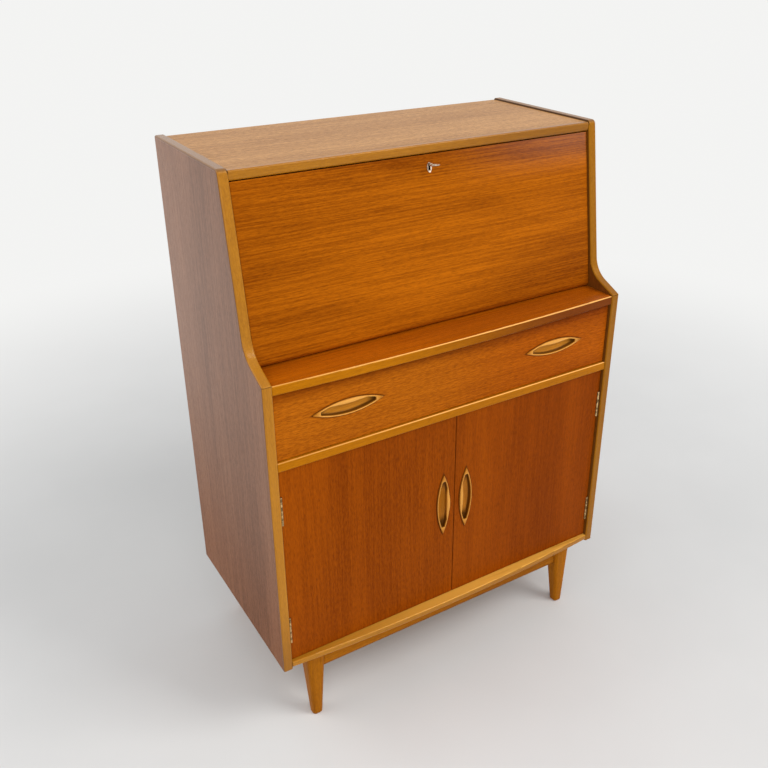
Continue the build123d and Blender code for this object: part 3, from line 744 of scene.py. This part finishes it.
def start_material(name):
    """A material with its shader, its output and object coordinates."""
    material = bpy.data.materials.new(name)
    material.use_nodes = True
    tree = material.node_tree
    tree.nodes.clear()
    shader = tree.nodes.new("ShaderNodeBsdfPrincipled")
    output = tree.nodes.new("ShaderNodeOutputMaterial")
    tree.links.new(shader.outputs["BSDF"], output.inputs["Surface"])
    place = tree.nodes.new("ShaderNodeTexCoord")
    return material, tree, shader, place.outputs["Object"]


def place_group(tree, name):
    """A node that holds one of the shared groups."""
    node = tree.nodes.new("ShaderNodeGroup")
    node.node_tree = bpy.data.node_groups[name]
    return node


def add_bump(tree, shader, height, strength, depth):
    """Fine relief of a surface, on the shader's normal."""
    bump = tree.nodes.new("ShaderNodeBump")
    bump.inputs["Strength"].default_value = strength
    bump.inputs["Distance"].default_value = depth
    tree.links.new(height, bump.inputs["Height"])
    tree.links.new(bump.outputs["Normal"], shader.inputs["Normal"])
    return bump


def place_mask(tree, place, axis, name):
    """Nought at one end of a named span along an axis of the desk, and one at the other."""
    return range_node(tree, split(tree, place)[axis], SPANS[name])


def depth_mask(tree, place, front, span):
    """Nought at one depth behind a front and one at another, in millimetres."""
    limits = [front + depth * MM for depth in span]
    return range_node(tree, split(tree, place)["Y"], limits)


def upper_mask(tree, name):
    """One on faces that look upwards."""
    return range_node(tree, facing(tree)["Z"], SPANS[name])


def side_mask(tree, place, side, name="square_on"):
    """One on faces that look out from (1) or in to (-1) the middle of the desk."""
    hand = times(tree, math_node(tree, "SIGN", split(tree, place)["X"]), side)
    return range_node(tree, times(tree, facing(tree)["X"], hand), SPANS[name])


def front_of(kind):
    """Depth of the front that a kind of pull is let into."""
    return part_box("right_" + kind)[1].y - bpy.context.scene.desk_sizes.pull_depth


def pull_place(tree, place, kind):
    """Square of the way along the nearest pull, and one along its lens-shaped outline."""
    sizes = bpy.context.scene.desk_sizes
    low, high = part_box("right_" + kind)
    middle = (low + high) / 2
    spot = split(tree, place)
    across = math_node(tree, "SUBTRACT", math_node(tree, "ABSOLUTE", spot["X"]), middle.x)
    upward = math_node(tree, "SUBTRACT", spot["Z"], middle.z)
    along, aside = (across, upward) if kind == "drawer_pull" else (upward, across)
    along = times(tree, along, 2.0 / sizes.pull_length)
    along = times(tree, along, along)
    aside = math_node(tree, "ABSOLUTE", times(tree, aside, 2.0 / sizes.pull_width))
    return along, plus(tree, along, aside)


def place_grain(tree, wood, vector):
    """The grain of one wood, with its colours and its character."""
    colours = bpy.context.scene.desk_colours
    grain = place_group(tree, "Wood grain")
    grain.inputs["Light"].default_value = (*getattr(colours, wood + "_light"), 1.0)
    grain.inputs["Dark"].default_value = (*getattr(colours, wood + "_dark"), 1.0)
    for label in ("Figure", "Streaks", "Dashes", "Pores"):
        grain.inputs[label].default_value = getattr(WOODS[wood], label.lower())
    grain.inputs["Base roughness"].default_value = WOODS[wood].roughness
    tree.links.new(vector, grain.inputs["Vector"])
    return grain


def veneer_outside(tree, place, grain_place, colour):
    """Side veneer on the outer face of a side, with painted shade that makes it redder low down."""
    veneer = place_grain(tree, "side_veneer", grain_place).outputs["Color"]
    # Painted shade: the veneer turns redder and darker low down
    low_shade = place_mask(tree, place, "Z", "low_side")
    veneer = mix_colours(tree, low_shade, veneer, LOW_SIDE_SHADE, "MULTIPLY")
    return mix_colours(tree, side_mask(tree, place, 1.0), colour, veneer)


def lipping_faces(tree, place, grain_place, colour):
    """Painted shade on the right piece, lower ends, inner faces and top seam; brown top edges, veneer, glue."""
    # Painted shade on the right-hand lipping and towards the lower ends
    right_shade = place_mask(tree, place, "X", "right_lipping")
    foot_shade = place_mask(tree, place, "Z", "lipping_foot")
    darker = math_node(tree, "MAXIMUM", right_shade, foot_shade)
    colour = mix_colours(tree, darker, colour, RIGHT_AND_LOW_SHADE, "MULTIPLY")
    colour = mix_colours(tree, place_mask(tree, place, "Z", "top_edge"), colour, TOP_EDGE)
    # Painted shade on the inner faces
    colour = mix_colours(tree, side_mask(tree, place, -1.0), colour, INNER_FACE_SHADE)
    # Painted shade along the top seam, in the colour of the glue lines
    seam = side_mask(tree, place, -1.0, "rounded_edge")
    seam = times(tree, seam, place_mask(tree, place, "Z", "top_seam"))
    colour = mix_colours(tree, seam, colour, GLUE_AND_SHADE_LINE)
    above = place_mask(tree, place, "Z", "above_joint")
    joint = math_node(tree, "SUBTRACT", place_mask(tree, place, "Z", "nose_joint"), above)
    colour = mix_colours(tree, times(tree, joint, JOINT_DARKNESS), colour, GLUE_AND_SHADE_LINE)
    veneer = place_grain(tree, "side_veneer", grain_place).outputs["Color"]
    outside = side_mask(tree, place, 1.0)
    colour = mix_colours(tree, outside, colour, veneer)
    glue = times(tree, outside, rest_of(tree, outside))
    return mix_colours(tree, times(tree, glue, GLUE_DARKNESS, True), colour, GLUE_AND_SHADE_LINE)


def highlight_upper_face(tree, place, grain_place, colour):
    """Painted highlight in patches where the bowed rail looks upwards."""
    # Painted highlight in patches on the upper faces
    rubbed = pattern(tree, grain_place, *RAIL_HIGHLIGHT_PATCHES)
    rubbed = times(tree, rubbed, place_mask(tree, place, "X", "rubbed_rail"))
    light = mix_colours(tree, rubbed, colour, RAIL_TOP_HIGHLIGHT)
    return mix_colours(tree, upper_mask(tree, "upper_face"), colour, light)


def rail_edges(upper_wood, tree, place, grain_place, colour):
    """Painted highlight along the upper arris, painted shade at the ledge rail's right end, wood on top."""
    if upper_wood == "ledge_veneer":
        # Painted shade at the right-hand end of the ledge rail
        end_shade = place_mask(tree, place, "X", "ledge_end")
        colour = mix_colours(tree, end_shade, colour, LEDGE_END_SHADE, "MULTIPLY")
    # Painted highlight along the upper arris
    arris = times(tree, upper_mask(tree, "arris"), place_mask(tree, place, "X", "bright_arris"))
    colour = mix_colours(tree, arris, colour, ARRIS_HIGHLIGHT)
    upper = place_grain(tree, upper_wood, grain_place).outputs["Color"]
    return mix_colours(tree, upper_mask(tree, "flat_top"), colour, upper)


def shade_right_end(tree, place, grain_place, colour):
    """Painted shade at the right-hand end of the top lipping."""
    # Painted shade at the right-hand end
    end_shade = place_mask(tree, place, "X", "top_end")
    return mix_colours(tree, end_shade, colour, RIGHT_AND_LOW_SHADE, "MULTIPLY")


def shade_around_pull(kind, tree, place, grain_place, colour):
    """Painted shade around a pull's outline and towards the right, and a painted shadow under the ledge."""
    # Painted shade around the outline of the pull
    behind = depth_mask(tree, place, front_of(kind), OUTLINE_SHADE_DEPTH)
    far = range_node(tree, pull_place(tree, place, kind)[1], OUTLINE_SHADE_REACH)
    shade_zone = rest_of(tree, math_node(tree, "MAXIMUM", far, behind))
    # Painted shade towards the right of the front
    right_shade = place_mask(tree, place, "X", "shaded_front")
    colour = mix_colours(tree, right_shade, colour, RIGHT_FRONT_SHADE[kind], "MULTIPLY")
    if kind == "drawer_pull":
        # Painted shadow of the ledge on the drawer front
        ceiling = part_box("drawer_front")[1].z
        under = range_node(tree, split(tree, place)["Z"], (ceiling - LEDGE_SHADE, ceiling))
        colour = mix_colours(tree, under, colour, UNDER_LEDGE_SHADOW, "MULTIPLY")
    return mix_colours(tree, times(tree, shade_zone, OUTLINE_SHADE_STRENGTH), colour, GLUE_AND_SHADE_LINE)


def shade_pull_recess(kind, tree, place, grain_place, colour):
    """Tone of a pull's recess, painted shade at its ends and walls, and a painted highlight on its rim."""
    deep = depth_mask(tree, place, front_of(kind), RECESS_DEPTH)
    along, outline = pull_place(tree, place, kind)
    colour = mix_colours(tree, times(tree, deep, RECESS_SHARE), colour, RECESS_TONE[kind])
    # Painted shade at the ends and walls of the recess
    ends = times(tree, range_node(tree, along, DARK_ENDS[kind]), END_DARKNESS)
    walls = times(tree, range_node(tree, outline, DARK_WALLS), WALL_DARKNESS)
    shade = times(tree, deep, math_node(tree, "MAXIMUM", ends, walls))
    colour = mix_colours(tree, shade, colour, PULL_SHADE)
    # Painted highlight on the rim
    rubbed = depth_mask(tree, place, front_of(kind), RIM_DEPTH)
    rubbed = times(tree, rubbed, range_node(tree, along, RIM_HIGHLIGHT_LENGTH))
    return mix_colours(tree, times(tree, rubbed, RIM_HIGHLIGHT_STRENGTH[kind]), colour, RIM_HIGHLIGHT)


def keyhole_shade(tree, place, grain_place, colour):
    """Painted shade on the wood inside the keyhole."""
    inside = tree.nodes.new("ShaderNodeMapping")
    inside.vector_type = "TEXTURE"
    inside.inputs["Location"].default_value = lock_frame() @ (KEYHOLE_PLACE * MM)
    inside.inputs["Rotation"].default_value = (-FALL_TILT, 0.0, 0.0)
    inside.inputs["Scale"].default_value = KEYHOLE_SIZE * MM
    tree.links.new(place, inside.inputs["Vector"])
    # Painted shade inside the keyhole
    shade_zone = reach_mask(tree, inside.outputs["Vector"], KEYHOLE_EDGE)
    return mix_colours(tree, shade_zone, colour, KEYHOLE_SHADE)


# What lies over the plain wood of some boards, each made from the tree, the place,
# the place along the grain and the colour below
OVERLAYS = {
    "veneer": veneer_outside,
    "lipping": lipping_faces,
    "rubbed": highlight_upper_face,
    "ledge_edges": partial(rail_edges, "ledge_veneer"),
    "divider_edges": partial(rail_edges, "rail_wood"),
    "dull_end": shade_right_end,
    "keyhole": keyhole_shade,
    "drawer_halo": partial(shade_around_pull, "drawer_pull"),
    "door_halo": partial(shade_around_pull, "door_pull"),
    "drawer_depths": partial(shade_pull_recess, "drawer_pull"),
    "door_depths": partial(shade_pull_recess, "door_pull"),
}
OVERLAY_OF_NODE = {
    "left_side_panel": "veneer", "right_side_panel": "veneer",
    "left_side_lipping": "lipping", "right_side_lipping": "lipping",
    "bottom_rail": "rubbed", "ledge_rail": "ledge_edges", "divider_rail": "divider_edges",
    "top_lipping": "dull_end",
    "fall_panel": "keyhole",
    "drawer_front": "drawer_halo",
    "left_door_panel": "door_halo", "right_door_panel": "door_halo",
    "left_drawer_pull": "drawer_depths", "right_drawer_pull": "drawer_depths",
    "left_door_pull": "door_depths", "right_door_pull": "door_depths",
}
# Wood under an overlay, where it isn't the one of the node's slot
WOOD_UNDER_OVERLAY = {
    "veneer": "inner_side", "ledge_edges": "rail_wood", "divider_edges": "rail_wood",
}


def polish_mask(tree, place, overlay, coat):
    """How much of the polish is left, where it isn't even."""
    if overlay == "veneer":
        polish = times(tree, side_mask(tree, place, 1.0), WOODS["side_veneer"].coat)
        return times(tree, polish, place_mask(tree, place, "Z", "side_polish"))
    if overlay == "lipping":
        return times(tree, place_mask(tree, place, "X", "left_lipping"), coat)
    if overlay == "keyhole":
        polish = place_mask(tree, place, "X", "fall_right")
        return times(tree, polish, place_mask(tree, place, "Z", "fall_top"))
    return None


def wood_material(wood, direction, overlay=None):
    """The finish of one wood with its grain in one direction, and what lies over it."""
    name = "_".join(filter(None, (wood, direction, overlay)))
    if name in bpy.data.materials:
        return bpy.data.materials[name]
    colours = bpy.context.scene.desk_colours
    sizes = bpy.context.scene.desk_sizes
    material, tree, shader, place = start_material(name)
    mapping = tree.nodes.new("ShaderNodeMapping")
    mapping.inputs["Rotation"].default_value = GRAIN_TURN[direction]
    tree.links.new(place, mapping.inputs["Vector"])
    grain_place = mapping.outputs["Vector"]
    grain = place_grain(tree, wood, grain_place)
    arris = place_group(tree, "Soft arris")
    legs = wood == "frame_wood"
    arris.inputs["Radius"].default_value = sizes.leg_radius if legs else sizes.edge_radius
    arris.inputs["Wear"].default_value = (LEG_WEAR if legs else 1.0) * sizes.edge_wear
    tree.links.new(place, arris.inputs["Vector"])
    light = getattr(colours, wood + "_light")
    worn = [min(1.0, WORN_GAIN * value + WORN_LIFT) for value in light]
    colour = mix_colours(tree, arris.outputs["Mask"], grain.outputs["Color"], (*worn, 1.0))
    if overlay:
        colour = OVERLAYS[overlay](tree, place, grain_place, colour)
    tree.links.new(colour, shader.inputs["Base Color"])
    tree.links.new(grain.outputs["Roughness"], shader.inputs["Roughness"])
    bump = add_bump(tree, shader, grain.outputs["Height"], *GRAIN_RELIEF)
    tree.links.new(arris.outputs["Normal"], bump.inputs["Normal"])
    shader.inputs["Specular IOR Level"].default_value = WOODS[wood].specular
    if wood in WARM_WOODS:
        shader.inputs["Specular Tint"].default_value = WARM_SHEEN
    shader.inputs["Coat Weight"].default_value = WOODS[wood].coat
    shader.inputs["Coat Roughness"].default_value = COAT_ROUGHNESS
    polish = polish_mask(tree, place, overlay, WOODS[wood].coat)
    if polish is not None:
        tree.links.new(polish, shader.inputs["Coat Weight"])
    return material


def metal_material(slot):
    """The finish of the brass or of the bright key metal."""
    metal = "brass" if slot == "brass_fittings" else "steel"
    name = "old_" + metal
    if name in bpy.data.materials:
        return bpy.data.materials[name]
    colours = bpy.context.scene.desk_colours
    material, tree, shader, place = start_material(name)
    tarnish = place_group(tree, "Tarnish")
    tarnish.inputs["Bright"].default_value = (*getattr(colours, metal), 1.0)
    tarnish.inputs["Dull"].default_value = (*getattr(colours, metal + "_tarnish"), 1.0)
    tarnish.inputs["Amount"].default_value = TARNISH_AMOUNT
    tree.links.new(place, tarnish.inputs["Vector"])
    tree.links.new(tarnish.outputs["Color"], shader.inputs["Base Color"])
    tree.links.new(tarnish.outputs["Roughness"], shader.inputs["Roughness"])
    add_bump(tree, shader, tarnish.outputs["Height"], *METAL_RELIEF)
    shader.inputs["Metallic"].default_value = 1.0
    return material


def grain_direction(node):
    """Direction in which the grain of a board runs."""
    if node in UPRIGHT_BOARDS:
        return "upright"
    if node in DEEP_BOARDS:
        return "depth"
    return "width"


def finish_for(node):
    """Material of a node, from its slot and its grain direction."""
    slot = SLOT_OF_NODE[node]
    overlay = OVERLAY_OF_NODE.get(node)
    wood = WOOD_UNDER_OVERLAY.get(overlay, slot)
    if wood in WOODS:
        return wood_material(wood, grain_direction(node), overlay)
    return metal_material(slot)


def set_material(piece, material):
    """Gives a piece one material alone."""
    piece.data.materials.clear()
    piece.data.materials.append(material)


def stand_for(piece, node):
    """Lets a modelled piece take the place and finish of a CAD node."""
    set_material(piece, finish_for(node))
    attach(piece, BODY_OF_NODE[node])
    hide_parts(node)


def set_in_lock(piece, node):
    """Moves a fitting from the origin to the keyhole, where it stands for a node."""
    smooth_edges(piece, degrees=40)
    piece.matrix_world = lock_frame()
    freeze(piece)
    stand_for(piece, node)


class DESK_OT_finish_boards(bpy.types.Operator):
    """Finish every carcase board, rail and fitting with its wood or metal."""

    bl_idname = "desk.finish_boards"
    bl_label = "Finish Boards"

    def execute(self, context):
        build_grain_group()
        build_arris_group()
        build_tarnish_group()
        for node, piece in NODES.items():
            set_material(piece, finish_for(node))
        return {"FINISHED"}

class DESK_OT_carve_pulls(bpy.types.Operator):
    """Carve the lens-shaped pulls with a raised grip over an undercut recess."""

    bl_idname = "desk.carve_pulls"
    bl_label = "Carve Pulls"

    def execute(self, context):
        sizes = context.scene.desk_sizes
        span = sizes.pull_length
        width = sizes.pull_width
        depth = sizes.pull_depth
        height = sizes.grip_height
        rim = sizes.pull_rim
        body = lens_bar("pull_blank", span, width, -depth, rim)
        crest = lens_bar("crest", span, width, 0.0, height)
        rise = (height**2 + (sizes.grip_length / 2) ** 2) / (2 * height)
        crown = (0, width / 2, height - rise)
        arch = drum("arch", rise, width, crown, DRUM_FACETS, (math.radians(90), 0, 0))
        cut(crest, arch, "INTERSECT")
        cut(body, crest, "UNION")
        cut(body, self.recess(sizes), "DIFFERENCE")
        add_modifier(body, "REMESH", mode="VOXEL", voxel_size=sizes.pull_grain)
        add_modifier(body, "SMOOTH", factor=0.5, iterations=5)
        add_modifier(body, "DECIMATE", ratio=0.5)
        smooth_edges(body, degrees=60)
        across = {"drawer_pull": ((1, 0, 0), (0, 0, 1)), "door_pull": ((0, 0, 1), (-1, 0, 0))}
        for hand in ("left", "right"):
            for kind, (first, second) in across.items():
                node = hand + "_" + kind
                low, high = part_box(node)
                middle = (low + high) / 2
                face = high.y - depth
                if kind == "door_pull" and hand == "left":
                    first, second = (0, 0, -1), (1, 0, 0)
                place = turned((middle.x, face, middle.z), first, second, (0, -1, 0))
                stand_for(copy_piece(body, "carved_" + node, place), node)
        bpy.data.objects.remove(body, do_unlink=True)
        return {"FINISHED"}

    def recess(self, sizes):
        """Hollow of a pull, with blunt ends, a bowl for a floor and room for the lip."""
        length, width = sizes.pull_length, sizes.pull_width
        depth, height, rim = sizes.pull_depth, sizes.grip_height, sizes.pull_rim
        span = length - 2 * sizes.point_rim
        reach = width - 2 * sizes.side_rim
        mouth = lens_bar("mouth", span, reach, -depth, 2 * height)
        ends = (length - 2 * sizes.end_rim, width, 3 * depth)
        cut(mouth, brick("blunt_ends", ends, (0, 0, 0)), "INTERSECT")
        hollow = 2 * (rim + depth - sizes.pull_floor)
        bowl_size = (BOWL_SPREAD[0] * span, BOWL_SPREAD[1] * reach, hollow)
        cut(mouth, ball("bowl", bowl_size, (0, 0, rim)), "INTERSECT")
        reach = 2 * sizes.grip_width
        lip = lens_bar("lip", sizes.lip_length, reach, -sizes.grip_lip, 3 * height, width / 2)
        cut(mouth, lip, "DIFFERENCE")
        return mouth


class DESK_OT_make_key(bpy.types.Operator):
    """Make the key with its ring bow, collared shank and notched bit."""

    bl_idname = "desk.make_key"
    bl_label = "Make Key"

    def execute(self, context):
        sizes = context.scene.desk_sizes
        radius = sizes.key_radius
        reach = sizes.key_reach
        root = KEY_ROOT * MM
        key = drum("turned_key", radius, reach + root, (0, 0, (reach - root) / 2), KEY_FACETS)
        for place, girth, width in KEY_COLLARS:
            middle = (0, 0, reach - place * MM)
            collar = drum("collar", girth * radius, width * MM, middle, KEY_FACETS)
            soften(collar, millimetres=0.4, segments=3, degrees=40)
            cut(key, collar, "UNION")
        deselect_all()
        bpy.ops.mesh.primitive_torus_add(
            major_segments=BOW_FACETS[0], minor_segments=BOW_FACETS[1],
            major_radius=BOW_RADII[0] * MM, minor_radius=BOW_RADII[1] * MM,
            location=(0, 0, reach + BOW_RISE * MM), rotation=(math.radians(90), 0, 0),
        )
        cut(key, take_newest("bow", BOW_SHAPE), "UNION")
        bit = brick("bit", BIT_SIZE * MM, BIT_PLACE * MM)
        cut(bit, brick("notch", NOTCH_SIZE * MM, NOTCH_PLACE * MM), "DIFFERENCE")
        cut(key, bit, "UNION")
        soften(key, millimetres=0.18, segments=2, degrees=50)
        set_in_lock(key, "key")
        return {"FINISHED"}


class DESK_OT_make_escutcheon(bpy.types.Operator):
    """Make the oval escutcheon with a raised rim and a keyhole."""

    bl_idname = "desk.make_escutcheon"
    bl_label = "Make Escutcheon"

    def execute(self, context):
        thick = PLATE_THICK * MM
        deselect_all()
        bpy.ops.mesh.primitive_cylinder_add(
            vertices=PLATE_FACETS, radius=1.0, depth=thick, location=(0, PLATE_PLACE * MM, thick / 2)
        )
        width, height = PLATE_REACH
        plate = take_newest("oval_escutcheon", (width * MM, height * MM, 1.0))
        select_faces(plate, lambda face: face.normal.z > FACING_UP)
        bpy.ops.object.mode_set(mode="EDIT")
        bpy.ops.mesh.inset(thickness=PLATE_RIM * MM)
        bpy.ops.transform.translate(value=(0, 0, -PLATE_DISH * MM))
        bpy.ops.object.mode_set(mode="OBJECT")
        eye = drum("eye", EYE_RADIUS * MM, EYE_DEPTH * MM, (0, 0, 0), EYE_FACETS)
        cut(plate, eye, "DIFFERENCE")
        cut(plate, brick("slot", SLOT_SIZE * MM, SLOT_PLACE * MM), "DIFFERENCE")
        soften(plate, millimetres=0.22, segments=3, degrees=40)
        set_in_lock(plate, "escutcheon")
        return {"FINISHED"}


class DESK_OT_drive_screws(bpy.types.Operator):
    """Drive slotted screws through the hinge leaves and the lock case."""

    bl_idname = "desk.drive_screws"
    bl_label = "Drive Screws"

    def execute(self, context):
        head = self.screw_head(context.scene.desk_sizes.screw_radius)
        for hand, side in ((-1, "left"), (1, "right")):
            for kind, outward in (("case", -hand), ("door", hand)):
                node = side + "_hinge_" + kind + "_leaves"
                low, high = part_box(node)
                if kind == "case":
                    face = hand * (max(abs(low.x), abs(high.x)) - LEAF_THICK * MM)
                else:
                    face = hand * DOOR_LEAF_FACE * MM
                middle = high.y - LEAF_MIDDLE * MM
                spots = [
                    (face, middle + sway * MM, bottom + rise * MM)
                    for bottom in (low.z, high.z - LEAF_LENGTH * MM)
                    for rise, sway in LEAF_SCREWS
                ]
                self.drive(head, node, spots, Vector((outward, 0, 0)), Vector((0, 0, 1)))
        spots = [lock_frame() @ (Vector(spot) * MM) for spot in CASE_SCREWS]
        self.drive(head, "lock_case", spots, -FALL_OUT, FALL_UP)
        bpy.data.objects.remove(head, do_unlink=True)
        return {"FINISHED"}

    def screw_head(self, radius):
        """Slotted head of a screw, looking up."""
        head = drum("screw_head", radius, HEAD_HEIGHT * MM, (0, 0, -HEAD_SINK * MM), HEAD_FACETS)
        width, depth, middle = (size * MM for size in HEAD_SLOT)
        cut(head, brick("slot", (3 * radius, width, depth), (0, 0, middle)), "DIFFERENCE")
        soften(head, millimetres=0.12, segments=2, degrees=40)
        smooth_edges(head, degrees=40)
        return head

    def drive(self, head, node, spots, outward, up):
        """Sets screws at some spots of a node, and joins them to one piece."""
        across = up.cross(outward)
        screws = []
        for count, spot in enumerate(spots):
            turn = math.radians(SLOT_STEP * count + SLOT_START)
            first = across * math.cos(turn) + up * math.sin(turn)
            second = outward.cross(first)
            screws.append(copy_piece(head, node + "_screw", turned(spot, first, second, outward)))
        make_active(screws[0])
        for screw in screws:
            screw.select_set(True)
        bpy.ops.object.join()
        group = bpy.context.active_object
        group.name = node + "_screws"
        set_material(group, metal_material("brass_fittings"))
        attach(group, BODY_OF_NODE[node])


class DESK_OT_set_stage(bpy.types.Operator):
    """Set a plain pale floor, soft light and the camera."""

    bl_idname = "desk.set_stage"
    bl_label = "Set Stage"

    def execute(self, context):
        stage = context.scene.desk_stage
        deselect_all()
        bpy.ops.mesh.primitive_plane_add(size=FLOOR_SIZE, location=(0, 0, 0))
        floor = context.active_object
        floor.name = "studio_floor"
        bpy.ops.object.mode_set(mode="EDIT")
        bpy.ops.mesh.subdivide(number_cuts=FLOOR_CUTS)
        bpy.ops.object.mode_set(mode="OBJECT")
        set_material(floor, self.floor_material(context.scene.desk_colours.floor))
        for name, (power, place, size) in LIGHTS.items():
            self.add_light(context, name, getattr(stage, power), place, size)
        self.set_sky(context)
        self.add_camera(context)
        context.scene.view_settings.view_transform = "Standard"
        return {"FINISHED"}

    def floor_material(self, colour):
        """Pale floor that keeps the shadow and fades to white far from the desk."""
        material, tree, shader, place = start_material("studio_floor")
        cloud = pattern(tree, place, *FLOOR_CLOUDS)
        darker = [FLOOR_SHADE * value for value in colour]
        tone = mix_colours(tree, cloud, (*colour, 1.0), (*darker, 1.0))
        tree.links.new(tone, shader.inputs["Base Color"])
        shader.inputs["Roughness"].default_value = 0.9
        shader.inputs["Specular IOR Level"].default_value = 0.1
        far = reach_mask(tree, place, FLOOR_FADE)
        path = tree.nodes.new("ShaderNodeLightPath").outputs
        seen = plus(tree, path["Is Camera Ray"], path["Is Glossy Ray"], True)
        white = self.add_glow(tree, "ShaderNodeEmission", FLOOR_WHITE)
        output = next(node for node in tree.nodes if node.type == "OUTPUT_MATERIAL")
        self.mix_shaders(tree, times(tree, far, seen), shader, white, output)
        return material

    def add_glow(self, tree, kind, colour, strength=1.0):
        """A shader that gives off an even light."""
        glow = tree.nodes.new(kind)
        glow.inputs["Color"].default_value = colour
        glow.inputs["Strength"].default_value = strength
        return glow

    def mix_shaders(self, tree, factor, first, second, output):
        """Sends a mix of two shaders to the output."""
        mix = tree.nodes.new("ShaderNodeMixShader")
        tree.links.new(factor, mix.inputs[0])
        tree.links.new(first.outputs[0], mix.inputs[1])
        tree.links.new(second.outputs[0], mix.inputs[2])
        tree.links.new(mix.outputs["Shader"], output.inputs["Surface"])

    def add_light(self, context, name, power, place, size):
        """Soft square light that looks at the desk."""
        lamp = bpy.data.lights.new(name, "AREA")
        lamp.shape = "SQUARE"
        lamp.size = size
        lamp.energy = power
        light = bpy.data.objects.new(name, lamp)
        light.location = place
        light.rotation_euler = (LIGHT_AIM - Vector(place)).to_track_quat("-Z", "Y").to_euler()
        light.visible_camera = False
        context.scene.collection.objects.link(light)

    def set_sky(self, context):
        """Even light all around, which the camera and the metals see as white."""
        world = bpy.data.worlds.new("studio_sky")
        context.scene.world = world
        world.use_nodes = True
        tree = world.node_tree
        tree.nodes.clear()
        output = tree.nodes.new("ShaderNodeOutputWorld")
        strength = context.scene.desk_stage.sky
        even = self.add_glow(tree, "ShaderNodeBackground", SKY_COLOUR, strength)
        white = self.add_glow(tree, "ShaderNodeBackground", SKY_WHITE)
        path = tree.nodes.new("ShaderNodeLightPath").outputs
        seen = plus(tree, path["Is Camera Ray"], path["Is Glossy Ray"])
        seen = plus(tree, seen, path["Is Transmission Ray"], True)
        self.mix_shaders(tree, seen, even, white, output)

    def add_camera(self, context):
        """Camera at the viewing angle of the desk."""
        lens = bpy.data.cameras.new("camera")
        lens.lens = context.scene.desk_stage.focal_length
        lens.sensor_width = SENSOR_WIDTH
        lens.shift_x, lens.shift_y = CAMERA_SHIFT
        camera = bpy.data.objects.new("camera", lens)
        camera.matrix_world = turned(CAMERA_PLACE, *CAMERA_AXES)
        context.scene.collection.objects.link(camera)
        context.scene.camera = camera


class DESK_PT_looks(bpy.types.Panel):
    """Sidebar panel with the steps that dress the desk."""

    bl_idname = "DESK_PT_looks"
    bl_label = "Secretary Desk"
    bl_space_type = "VIEW_3D"
    bl_region_type = "UI"
    bl_category = "Desk"

    def draw(self, context):
        scene = context.scene
        layout = self.layout
        for operator in STEPS:
            layout.operator(operator.bl_idname)
        for group in (scene.desk_sizes, scene.desk_colours, scene.desk_stage):
            column = layout.column(align=True)
            for name in group.__annotations__:
                column.prop(group, name)


STEPS = (
    DESK_OT_finish_boards, DESK_OT_carve_pulls, DESK_OT_make_key, DESK_OT_make_escutcheon,
    DESK_OT_drive_screws, DESK_OT_set_stage,
)
CLASSES = (DeskColours, DeskSizes, DeskStage, *STEPS, DESK_PT_looks)


def register():
    """Registers the steps, the panel and the values that a user may change."""
    for item in CLASSES:
        bpy.utils.register_class(item)
    bpy.types.Scene.desk_colours = PointerProperty(type=DeskColours)
    bpy.types.Scene.desk_sizes = PointerProperty(type=DeskSizes)
    bpy.types.Scene.desk_stage = PointerProperty(type=DeskStage)


def unregister():
    """Takes back what register added."""
    del bpy.types.Scene.desk_stage
    del bpy.types.Scene.desk_sizes
    del bpy.types.Scene.desk_colours
    for item in reversed(CLASSES):
        bpy.utils.unregister_class(item)


def main():
    """Dresses the desk step by step."""
    register()
    bpy.ops.desk.finish_boards()
    bpy.ops.desk.carve_pulls()
    bpy.ops.desk.make_key()
    bpy.ops.desk.make_escutcheon()
    bpy.ops.desk.drive_screws()
    bpy.ops.desk.set_stage()


if __name__ == "__main__":
    main()
